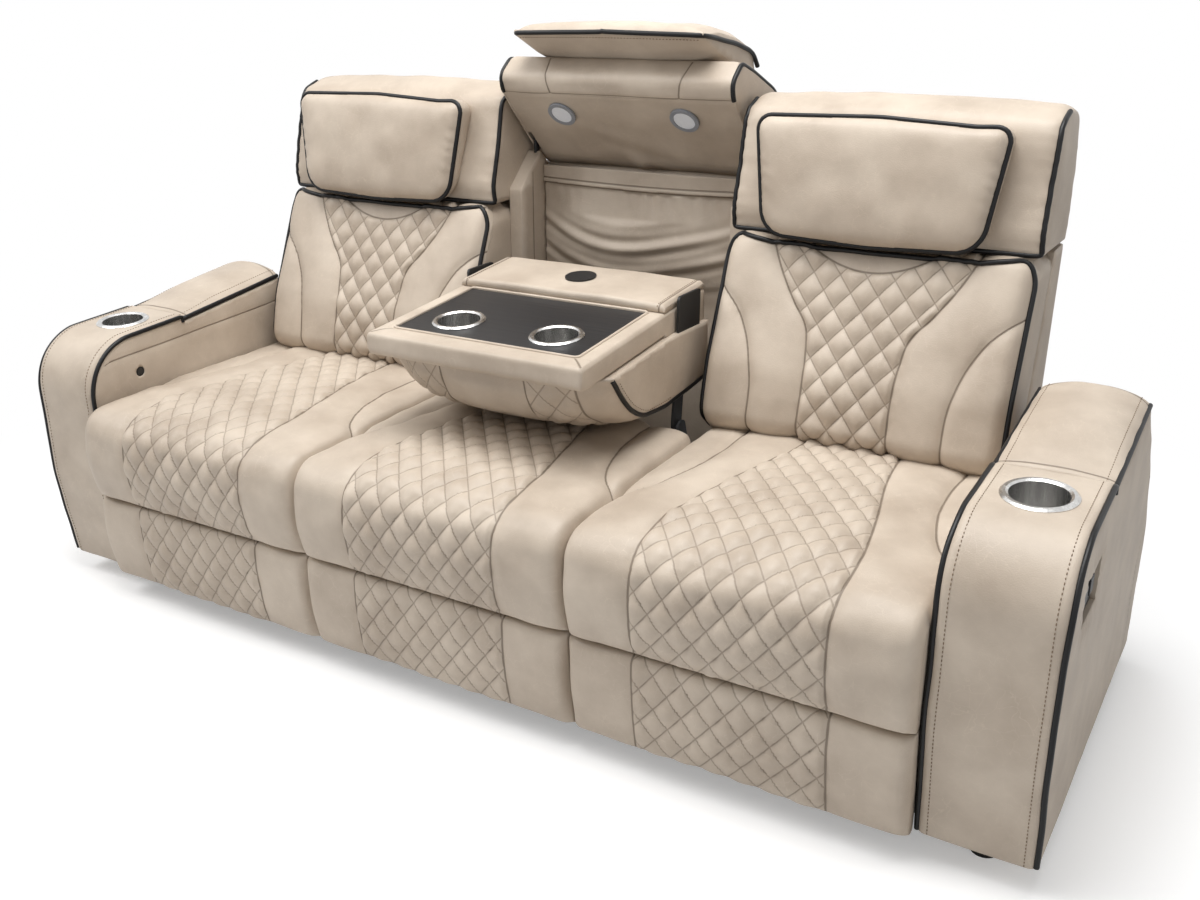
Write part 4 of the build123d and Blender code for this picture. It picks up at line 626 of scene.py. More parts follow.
# spark eroded ABS mouldings: near black, finely matt
BLACK_PLASTIC = Coating("black_moulded_abs", "black_plastic", "121314", "1d1e20", 0.8, 0.42)
# spun and brushed stainless cups: bright, with streaks that run round the wall
STEEL = Coating("brushed_stainless_steel", "brushed_steel", "a3a2a0", "f2f1ef", 4.0, 0.26, 1.0, 0.05,
                (1.0, 1.0, 0.03))
# drawn and oiled spring wire: dark grey with a soft metal gloss
SPRING = Coating("oiled_spring_steel", "spring_steel", "3a3a3c", "565658", 2.0, 0.35, 1.0)
# sanded birch plywood: warm light brown, grain drawn out along the board
BOARD = Coating("birch_plywood", "board", "9b7a50", "b8966a", 6.0, 0.6, 0.0, 0.1, (0.1, 1.0, 1.0))
# embossed laminate on the console's top: charcoal, grain drawn out across the sofa
INLAY = Coating("charcoal_grained_laminate", "charcoal_inlay", "0c0c0e", "232325", 3.0, 0.42, 0.0, 0.35,
                (0.06, 1.0, 1.0))
# satin ABS round the reading lights: cool grey
GREY_BEZEL = Coating("satin_grey_abs", "grey_bezel", "80858d", "999da5", 1.0, 0.32)
# frosted acrylic lens: milky white with a faint cool tint
LENS = Coating("frosted_acrylic", "frosted_lens", "dfe4ec", "eef2f8", 1.5, 0.35)


# ---------------------------------------------------------------- repeated and followed pieces
def run_nodes(name: str, paths: Sequence[Array], tree: Tree, sizes: dict[str, float],
              closed: bool = False) -> Thing:
    """Run a node tree on one or more paths and keep the result as a plain mesh.

    Args:
        name: Name of the piece.
        paths: Paths in millimetres.
        tree: Geometry node tree.
        sizes: Value of each of the tree's named sizes.
        closed: Whether each path meets its own start.

    Returns:
        The piece.
    """
    edges, start = [], 0
    for path in paths:
        count = len(path)
        edges += [(start + k, start + (k + 1) % count) for k in range(count if closed else count - 1)]
        start += count
    mesh = bpy.data.meshes.new(name)
    mesh.from_pydata((np.vstack(paths) * MM).tolist(), edges, [])
    made = link_object(name, mesh)
    tool = made.modifiers.new("nodes", "NODES")
    tool.node_group = tree
    for item in tree.interface.items_tree:
        if item.item_type == "SOCKET" and item.in_out == "INPUT" and item.name in sizes:
            tool[item.identifier] = sizes[item.name]
    made.update_tag()
    bpy.context.view_layer.update()
    return keep_mesh(made)


def new_tree(name: str, sizes: Sequence[str]) -> tuple[Tree, Sequence[Socket], Node]:
    """Start a geometry node tree that lays even places along its path.

    Args:
        name: Name of the tree.
        sizes: Names of its sizes, Spacing among them.

    Returns:
        The tree, its given sockets, and the node that gives the even path.
    """
    tree = bpy.data.node_groups.new(name, "GeometryNodeTree")
    tree.interface.new_socket("Geometry", in_out="INPUT", socket_type="NodeSocketGeometry")
    for label in sizes:
        tree.interface.new_socket(label, in_out="INPUT", socket_type="NodeSocketFloat")
    tree.interface.new_socket("Geometry", in_out="OUTPUT", socket_type="NodeSocketGeometry")
    given = node(tree, "NodeGroupInput").outputs
    curve = node(tree, "GeometryNodeMeshToCurve", {"Mesh": given["Geometry"]})
    even = node(tree, "GeometryNodeResampleCurve", {"Curve": curve, "Length": given["Spacing"]}, mode="LENGTH")
    return tree, given, even


def close_tree(tree: Tree, result: Node, finish: Finish) -> Tree:
    """End a tree in Realize Instances and Set Material."""
    real = node(tree, "GeometryNodeRealizeInstances", {"Geometry": result})
    smooth = node(tree, "GeometryNodeSetShadeSmooth", {"Geometry": real})
    dressed = node(tree, "GeometryNodeSetMaterial", {"Geometry": smooth, "Material": finish.material()})
    node(tree, "NodeGroupOutput", {"Geometry": dressed})
    return tree


class Trim:
    """Piping and stitches, which follow paths that the sewn pieces give."""

    def __init__(self) -> None:
        """Build the node trees."""
        self.tubes = {PIPING: self.build_piping("piping", PIPING), PLAIN: self.build_piping("welt", PLAIN)}
        self.stitches = self.build_stitches()

    def build_piping(self, name: str, finish: Finish) -> Tree:
        """Tree that rolls leather round a cord along a path."""
        tree, given, even = new_tree(name, ("Radius", "Spacing"))
        ring = node(tree, "GeometryNodeCurvePrimitiveCircle", {"Radius": given["Radius"], "Resolution": 10})
        tube = node(tree, "GeometryNodeCurveToMesh", {"Curve": even, "Profile Curve": ring, "Fill Caps": True})
        return close_tree(tree, tube, finish)

    def build_stitches(self) -> Tree:
        """Tree that lays thread stitches end to end along a path."""
        tree, given, even = new_tree("stitches", ("Spacing", "Length", "Thickness"))
        tangent = node(tree, "GeometryNodeInputTangent")
        turn = node(tree, "FunctionNodeAlignRotationToVector", {"Vector": tangent}, axis="X")
        ball = node(tree, "GeometryNodeMeshUVSphere", {"Segments": 6, "Rings": 4, "Radius": 0.5})
        size = node(tree, "CombineXYZ", {0: given["Length"], 1: given["Thickness"], 2: given["Thickness"]})
        stitch = node(tree, "GeometryNodeTransform", {"Geometry": ball.outputs["Mesh"], "Scale": size})
        wander = node(tree, "FunctionNodeRandomValue", {0: (0.85, 0.9, 0.9), 1: (1.1, 1.1, 1.1), "Seed": 7},
                      data_type="FLOAT_VECTOR")
        laid = node(tree, "GeometryNodeInstanceOnPoints", {
            "Points": even, "Instance": stitch, "Rotation": turn, "Scale": wander.outputs[0]})
        return close_tree(tree, laid, THREAD)

    def pipe(self, name: str, body: str, paths: Sequence[Array], radius: float = PIPE, closed: bool = False,
             finish: Finish = PIPING) -> None:
        """Roll piping, or a thin leather welt in PLAIN, along paths on one body.

        Args:
            name: Name of the piece.
            body: CAD body that it rides on.
            paths: Paths in millimetres.
            radius: Radius of the roll.
            closed: Whether each path meets its own start.
            finish: PIPING or PLAIN.
        """
        sizes = {"Radius": radius * MM, "Spacing": TUBE_STEP * MM}
        settle(run_nodes(name, paths, self.tubes[finish], sizes, closed), body)

    def sew(self, name: str, body: str, paths: Sequence[Array]) -> None:
        """Lay stitches along paths on one body."""
        sizes = {"Spacing": STITCH * MM, "Length": STITCH * 0.68 * MM, "Thickness": THREAD_SIZE * MM}
        settle(run_nodes(name, paths, self.stitches, sizes), body)


def settle(made: Thing, body: str, replaced: str = "") -> Thing:
    """Put a finished piece on its body and report it.

    Args:
        made: The piece.
        body: CAD body that it rides on.
        replaced: CAD node that it stands for.

    Returns:
        The piece.
    """
    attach(made, body)
    if replaced:
        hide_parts(replaced)
    LOG.info("%s on %s, %d faces", made.name, body, len(made.data.polygons))
    return made


# ---------------------------------------------------------------- swept bodies
def line_distance(places: Array, line: Array, closed: bool = False) -> Array:
    """Distance of each place from a line of straight runs."""
    starts = line if closed else line[:-1]
    ends = np.roll(line, -1, axis=0) if closed else line[1:]
    nearest = np.full(len(places), np.inf)
    for start, end in zip(starts, ends):
        run = end - start
        share = np.clip((places - start) @ run / max(run @ run, 1e-9), 0, 1)
        nearest = np.minimum(nearest, np.linalg.norm(places - start - share[:, None] * run, axis=1))
    return nearest


def fill_outline(ring: Array, spacing: float,
                 lines: Sequence[Array] = ()) -> tuple[Array, Array, Array]:
    """Triangulate the inside of a closed outline through evenly laid places.

    Args:
        ring: Places of the outline.
        spacing: Distance between the places laid inside.
        lines: Lines inside the outline that get places of their own.

    Returns:
        The inner places, their distance from the outline, and triangles that count the
        outline first and then the inner places.
    """
    low, high = ring.min(axis=0), ring.max(axis=0)
    rows, columns = np.arange(low[1], high[1], spacing * 0.866), np.arange(low[0], high[0], spacing)
    places = np.stack(np.meshgrid(columns, rows), -1)
    places[1::2, :, 0] += spacing / 2
    places = places.reshape(-1, 2)
    inside = np.zeros(len(places), bool)
    for (a0, b0), (a1, b1) in zip(ring, np.roll(ring, -1, axis=0)):
        crosses = (b0 > places[:, 1]) != (b1 > places[:, 1])
        rise = b1 - b0 if b1 != b0 else 1e-9
        inside ^= crosses & (places[:, 0] < a0 + (places[:, 1] - b0) * (a1 - a0) / rise)
    places = places[inside]
    depth = line_distance(places, ring, True)
    kept = depth > spacing * 0.6
    for line in lines:
        kept &= line_distance(places, line) > spacing * 0.55
    count = len(ring)
    edges = [(k, (k + 1) % count) for k in range(count)]
    start = count + int(kept.sum())
    evened = [even_path(line, spacing * 0.8) for line in lines]
    for line in evened:
        edges += [(start + k, start + k + 1) for k in range(len(line) - 1)]
        start += len(line)
    places = np.vstack([places[kept], *evened])
    depth = line_distance(places, ring, True)
    everything = [Vector(p) for p in np.vstack([ring, places])]
    _, _, faces, origins, _, _ = delaunay_2d_cdt(everything, edges, [], 1, 1e-7)
    triangles = np.array([[min(origins[k]) for k in face] for face in faces if all(origins[k] for k in face)])
    a, b, c = (np.vstack([ring, places])[triangles[:, k]] for k in range(3))
    area = (b[:, 0] - a[:, 0]) * (c[:, 1] - a[:, 1]) - (b[:, 1] - a[:, 1]) * (c[:, 0] - a[:, 0])
    triangles[area < 0] = triangles[area < 0][:, ::-1]
    return places, depth, triangles


class ClosedBody:
    """A soft body whose grid of places closes round in its rows, with filled sides."""

    name: str
    centre: float
    side_step: float
    side_bulge: dict[int, float]
    side_lines: dict[int, list[Array]]
    across: Optional[Array] = None      # distance across the quilting, where it isn't x

    def take_grid(self, grid: Array) -> None:
        """Start from a grid of rows by columns places."""
        self.grid = grid
        self.x = grid[..., 0] - self.centre
        runs = np.linalg.norm(np.roll(grid, -1, axis=0) - grid, axis=2).mean(axis=1)
        self.along = np.concatenate([[0], np.cumsum(runs)[:-1]])
        self.seams = np.full(grid.shape, FAR)
        self.find_normals()

    def find_normals(self) -> None:
        """Work out the outward normals of the grid as it is now."""
        self.normal = grid_normals(self.grid)
        middle = self.grid.mean(axis=(0, 1))
        self.flipped = bool(np.einsum("ijk,ijk->ij", self.normal, self.grid - middle).mean() < 0)
        if self.flipped:
            self.normal = -self.normal

    def push(self, amount: Array) -> None:
        """Move every place along its normal, and find the new normals."""
        self.grid = self.grid + self.normal * amount[..., None]
        self.find_normals()

    def quilting(self, inside: Array, start: float, rise: float, notch: float = NOTCH) -> Array:
        """Height of the diamonds inside a seam.

        Args:
            inside: Signed distance from the seam, inside being negative.
            start: Distance along the outline where a row of diamonds begins.
            rise: Height of a diamond's middle.
            notch: Width beside the seam over which they flatten.

        Returns:
            The height at each place.
        """
        across = self.x if self.across is None else self.across
        along = ((self.along - start) / TALL)[:, None]
        return pillowed(across / DIAMOND, along) * step_up(-inside, 0, notch) * rise

    def side_seam(self, slot: int, half_width: Array) -> Array:
        """Lay a mirrored pair of seams at half_width on each row.

        Args:
            slot: Which of the three stored seams this is.
            half_width: Distance from the middle on each row.

        Returns:
            Signed distance of each place, inside being negative.
        """
        slope = np.clip(np.gradient(half_width, self.along), -4, 4)
        distance = (np.abs(self.x) - half_width[:, None]) / np.sqrt(1 + slope[:, None] ** 2)
        self.seams[..., slot] = np.clip(distance, -FAR, FAR)
        return distance

    def side_place(self, side: int, places: Array) -> Array:
        """Distance of the plain side from the middle at (y, z) places."""
        column = 0 if side < 0 else -1
        return np.full(len(places), abs(self.grid[:, column, 0].mean() - self.centre))

    def fill_side(self, side: int) -> tuple[Array, Array, Array]:
        """Places, seam distances and triangles of one side panel.

        Args:
            side: -1 for the left, 1 for the right.

        Returns:
            Inner places, their seam distances, and triangles.
        """
        column = 0 if side < 0 else -1
        lines = self.side_lines.get(side, [])
        inner, depth, triangles = fill_outline(self.grid[:, column, 1:], self.side_step, lines)
        distances = np.full((len(inner), 3), FAR)
        bulge = swell(depth, self.side_bulge.get(side, 0.0), 16)
        places = np.column_stack([np.full(len(inner), side * 500.0), inner])
        bulge = bulge * (1 + 0.35 * ripple(places, 120, 31 + side) + 0.12 * ripple(places, 45, 35 + side))
        for line in lines:
            near = line_distance(inner, line)
            distances[:, 1] = np.minimum(distances[:, 1], near)
            bulge = bulge - dip(near, 1.6, 4)
        x = self.centre + side * (self.side_place(side, inner) + bulge)
        return np.column_stack([x, inner]), distances, triangles

    def build(self, finish: Finish, pattern_start: float = 0.0) -> Thing:
        """Make the mesh with its filled sides.

        Args:
            finish: Finish of the piece.
            pattern_start: Distance along the outline where a row of diamonds begins.

        Returns:
            The object.
        """
        rows, columns = self.grid.shape[:2]
        faces = grid_faces(rows, columns, True, self.flipped).tolist()
        verts, seams = [self.grid.reshape(-1, 3)], [self.seams.reshape(-1, 3)]
        v = np.broadcast_to(((self.along - pattern_start) / TALL)[:, None], (rows, columns))
        across = self.x if self.across is None else self.across
        pattern = [np.stack([across / DIAMOND, v], -1).reshape(-1, 2)]
        total = rows * columns
        for side, column in ((-1, 0), (1, columns - 1)):
            inner, distances, triangles = self.fill_side(side)
            index = np.concatenate([np.arange(rows) * columns + column, total + np.arange(len(inner))])
            corners = index[triangles]
            faces += (corners if side > 0 else corners[:, ::-1]).tolist()
            verts.append(inner)
            seams.append(distances)
            pattern.append(inner[:, 1:] / DIAMOND)
            total += len(inner)
        return make_object(self.name, np.vstack(verts), faces, finish.material(), np.vstack(pattern),
                           np.vstack(seams))

    def place_at(self, row: int, share: float, drop: float = 0.0) -> Array:
        """Place on a row at a share of its half width, below the surface by drop."""
        k = row % len(self.grid)
        wide = self.x[k]
        target = share * max(abs(wide[0]), abs(wide[-1]))
        surface = self.grid[k] - drop * self.normal[k]
        return np.array([np.interp(target, wide, surface[:, n]) for n in range(3)])

    def edge_path(self, side: int, first: int, last: int, inset: float, drop: float = 0.0) -> Array:
        """Places near a side seam, between two rows, for piping or stitches.

        Args:
            side: -1 for the left, 1 for the right.
            first: First row.
            last: Last row; it may lie before the first.
            inset: Distance from the side seam towards the middle.
            drop: Distance below the surface.

        Returns:
            The places.
        """
        order = range(first, last + 1) if last >= first else range(first, last - 1, -1)
        places = []
        for row in order:
            k = row % len(self.grid)
            half = max(abs(self.x[k, 0]), abs(self.x[k, -1]))
            places.append(self.place_at(k, side * (half - inset) / half, drop))
        return np.array(places)

    def row_path(self, row: int, start: float, end: float, drop: float = 0.0, count: int = 60) -> Array:
        """Places along one row, from one share of the half width to another."""
        return np.array([self.place_at(row, share, drop) for share in np.linspace(start, end, count)])


@dataclass
class SweptBody(ClosedBody):
    """A closed soft body: a side outline of (y, z, radius, dy, dz) corners, swept across
    from one side seam to the other, growing along (dy, dz) in between."""

    name: str
    centre: float
    half: float
    corners: Sequence[Corner]
    crown: float = 7.0
    drawn: float = 9.0
    edge: float = 0.2                # share of the half width that rolls to the side seam
    step: float = 5.0
    columns: int = 120
    edge_columns: int = 9
    profile: Optional[Pairs] = None  # growth by share of the half width, in place of the roll
    taper: Optional[Callable[[Array], Array]] = None   # narrowing by (y, z)
    side_step: float = 16.0
    side_bulge: dict[int, float] = field(default_factory=dict)
    side_lines: dict[int, list[Array]] = field(default_factory=dict)

    def __post_init__(self) -> None:
        """Sweep the plain body."""
        plain = [(y, z, r) for y, z, r, _, _ in self.corners]
        self.loop, counts = rounded_corners(plain, self.step)
        grown, _ = rounded_corners([(y + dy, z + dz, r) for y, z, r, dy, dz in self.corners], self.step, counts)
        inner = np.linspace(-1, 1, self.columns) * (1 - self.edge)
        roll = 1 - self.edge * (1 - np.sin(np.linspace(0, math.pi / 2, self.edge_columns + 1)[1:]))
        share = np.concatenate([-roll[::-1], inner, roll])
        if self.profile:
            growth = spread(self.profile, np.abs(share))
        else:
            t = np.clip((np.abs(share) - (1 - self.edge)) / self.edge, 0, 1)
            growth = self.crown - (self.crown + self.drawn) * (1 - np.sqrt(np.maximum(1 - t * t, 0)))
        flat = self.loop[:, None, :] + growth[None, :, None] * (grown - self.loop)[:, None, :]
        half = self.half - (self.taper(self.loop) if self.taper else np.zeros(len(self.loop)))
        x = self.centre + share[None, :] * half[:, None]
        self.take_grid(np.concatenate([x[..., None], flat], axis=2))

    def side_place(self, side: int, places: Array) -> Array:
        """Distance of the plain side from the middle at (y, z) places."""
        return self.half - (self.taper(places) if self.taper else np.zeros(len(places)))

    def row_at(self, corner: int) -> int:
        """Row nearest to a corner."""
        target = np.array(self.corners[corner][:2])
        return int(np.argmin(np.linalg.norm(self.loop - target, axis=1)))


@dataclass
class GridBody(ClosedBody):
    """A closed soft body that starts from a grid of its own."""

    name: str
    centre: float
    places: Array
    side_step: float = 7.0
    side_bulge: dict[int, float] = field(default_factory=dict)
    side_lines: dict[int, list[Array]] = field(default_factory=dict)

    def __post_init__(self) -> None:
        """Take the grid."""
        self.take_grid(self.places)


def pillowed(across: Array, along: Array) -> Array:
    """Height of diamond quilting, 0 at the stitch lines and 1 in a diamond's middle.

    Args:
        across: Distance across, in diamonds.
        along: Distance along, in diamonds.

    Returns:
        The height.
    """
    a = np.abs(np.sin(math.pi * (across + along)))
    b = np.abs(np.sin(math.pi * (across - along)))
    return (a * b) ** 0.5


class Shells:
    """Plain closed shapes that are gathered into one piece or one cutter."""

    def __init__(self) -> None:
        """Start empty."""
        self.verts: list[Array] = []
        self.faces: list[list[int]] = []
        self.count = 0

    def add(self, verts: Array, faces: Sequence[Sequence[int]]) -> None:
        """Add one closed shape."""
        self.verts.append(verts)
        self.faces += [[k + self.count for k in face] for face in faces]
        self.count += len(verts)

    def box(self, x: Span, y: Span, z: Span) -> "Shells":
        """Add a box between (low, high) pairs."""
        verts = np.array([(a, b, c) for a in sorted(x) for b in sorted(y) for c in sorted(z)], float)
        self.add(verts, BOX)
        return self

    def rod(self, start: Sequence[float], end: Sequence[float], radius: float, sides: int = 48) -> "Shells":
        """Add a round rod between two places."""
        low, high = np.array(start, float), np.array(end, float)
        axis = (high - low) / np.linalg.norm(high - low)
        helper = np.array((1.0, 0, 0)) if abs(axis[0]) < 0.9 else np.array((0, 1.0, 0))
        first = np.cross(axis, helper)
        first /= np.linalg.norm(first)
        second = np.cross(axis, first)
        turn = np.linspace(0, 2 * math.pi, sides, endpoint=False)[:, None]
        ring = radius * (np.cos(turn) * first + np.sin(turn) * second)
        faces = [(k, (k + 1) % sides, sides + (k + 1) % sides, sides + k) for k in range(sides)]
        faces += [tuple(range(sides))[::-1], tuple(range(sides, 2 * sides))]
        self.add(np.vstack([low + ring, high + ring]), faces)
        return self

    def pin(self, x: Span, y: float, z: float, radius: float, sides: int = 24) -> "Shells":
        """Add a round rod that runs across the sofa between two x places."""
        return self.rod((x[0], y, z), (x[1], y, z), radius, sides)

    def build(self, name: str, finish: Finish, rounding: float = 0.0) -> Thing:
        """Make the piece, its edges rounded where rounding is above 0."""
        made = make_object(name, np.vstack(self.verts), self.faces, finish.material())
        made.data.shade_flat()
        if rounding:
            tool = made.modifiers.new("round", "BEVEL")
            tool.width = rounding * MM
            tool.segments = 2
            tool.limit_method = "ANGLE"
            keep_mesh(made)
        return made


# ---------------------------------------------------------------- seats
@dataclass
class Seat:
    """One seat cushion: waterfall front pad, quilted middle and plain wings, each wing
    split towards the rear by a curved seam."""

    side: str
    centre: float
    rear: float
    half: float = 298.5
    front: float = -459.0
    lip: float = 243.0
    crown_height: float = 24.0
    quilt: Pairs = ((-470, 166), (-420, 168), (-340, 166), (-260, 153), (-184, 138), (-100, 118), (-20, 102),
                    (60, 92), (110, 88))
    wing: Pairs = ((-470, 345), (-330, 335), (-285, 298), (-258, 268), (-225, 248), (-187, 235), (-137, 222),
                   (-60, 213), (20, 211), (100, 214))

    def build(self) -> None:
        """Make and dress the cushion."""
        lip, nose = self.lip, self.front
        corners = [(nose + 16, lip, 10, -1, 0), (nose, 335, 250, -1, 0), (nose + 7, 424, 52, -1, 1),
                   (-300, 430, 300, 0, 1), (self.rear, 446, 20, 0, 1), (self.rear, 300, 10, 0, 0),
                   (-395, 300, 5, 0, 0), (-395, 262, 4, 0, 0), (nose + 29, lip, 4, 0, 0)]
        body = SweptBody(f"{self.side}_seat", self.centre, self.half, corners, step=4.6, columns=118, edge=0.14)
        y, z = body.loop[:, 0], body.loop[:, 1]
        top = (z > 380) & (y < self.rear - 3)
        front = (y < -440) & (z > lip + 4)
        share = np.clip(np.abs(body.x) / self.half, 0, 1)
        # the whole seat is crowned, highest behind the lip
        lift = step_up(y, -455, -330) * (0.55 + 0.45 * step_up(-y, -80, 160))
        hump = self.crown_height * (1 - share ** 2.2) * lift[:, None]
        body.grid[..., 2] += np.where(top[:, None], hump, 0)
        belly = 7 * (1 - share ** 2) * np.sin(np.pi * np.clip((z - lip) / 190, 0, 1))[:, None]
        body.grid[..., 1] -= np.where(front[:, None], belly, 0)
        body.find_normals()
        along_front = np.where(z < 400, -470.0, y)
        inside = body.side_seam(0, spread(self.quilt, along_front))
        outside = body.side_seam(1, spread(self.wing, along_front))
        start = float(body.along[body.row_at(0)])
        wings = np.where(inside > 0, swell(inside, 9, 15) - dip(outside, 9, 11), 0)
        hem = np.where(front, dip(np.maximum(z - lip, 0), -7, 12), 0)[:, None]
        near = dip(np.minimum(np.abs(inside), np.abs(outside)), 1, 20)
        creases = ripple(body.grid * np.array([1.0, 0.5, 2.0]), 30, 5) * 0.5 * near
        folds = ripple(body.grid, 90, 11) * 1.6 + creases
        shown = (top | front)[:, None] * step_up(self.half - np.abs(body.x), 0, 16)
        body.push((body.quilting(inside, start, 9.5) + wings + hem + folds) * shown)
        settle(body.build(QUILTED, start), "base", f"{self.side}_seat_cushion")


@dataclass
class FootPanel:
    """Quilted pad of a foot panel between two plain ends."""

    side: str
    centre: float
    body: str
    replaced: str
    half: float = 298.5
    bottom: float = 50.0
    top: float = 239.0

    def build(self) -> None:
        """Make and dress the pad."""
        low, high = self.bottom, self.top
        corners = [(-424, low, 12, -1, 0), (-444, high, 14, -1, 0), (-398, high, 4, 0, 0), (-398, low, 4, 0, 0)]
        body = SweptBody(f"{self.side}_foot_panel", self.centre, self.half, corners, crown=4, drawn=6, step=4.6,
                         columns=118, edge=0.1)
        y, z = body.loop[:, 0], body.loop[:, 1]
        inside = body.side_seam(0, np.full(len(y), 170.0))
        start = float(body.along[np.argmax(z)])
        ends = np.where(inside > 0, swell(inside, 6, 13), 0)
        hem = swell(np.maximum(np.minimum(z - low, high - z), 0), 1, 14)[:, None]
        bow = 7 * np.sin(np.pi * np.clip((z - low) / (high - low), 0, 1))[:, None]
        folds = ripple(body.grid, 80, 21) * 1.2
        shown = ((y < -405) & (z > low + 1))[:, None] * step_up(self.half - np.abs(body.x), 0, 16)
        body.push(((body.quilting(inside, start, 10.0) + ends) * hem + bow + folds) * shown)
        settle(body.build(QUILTED, start), self.body, self.replaced)


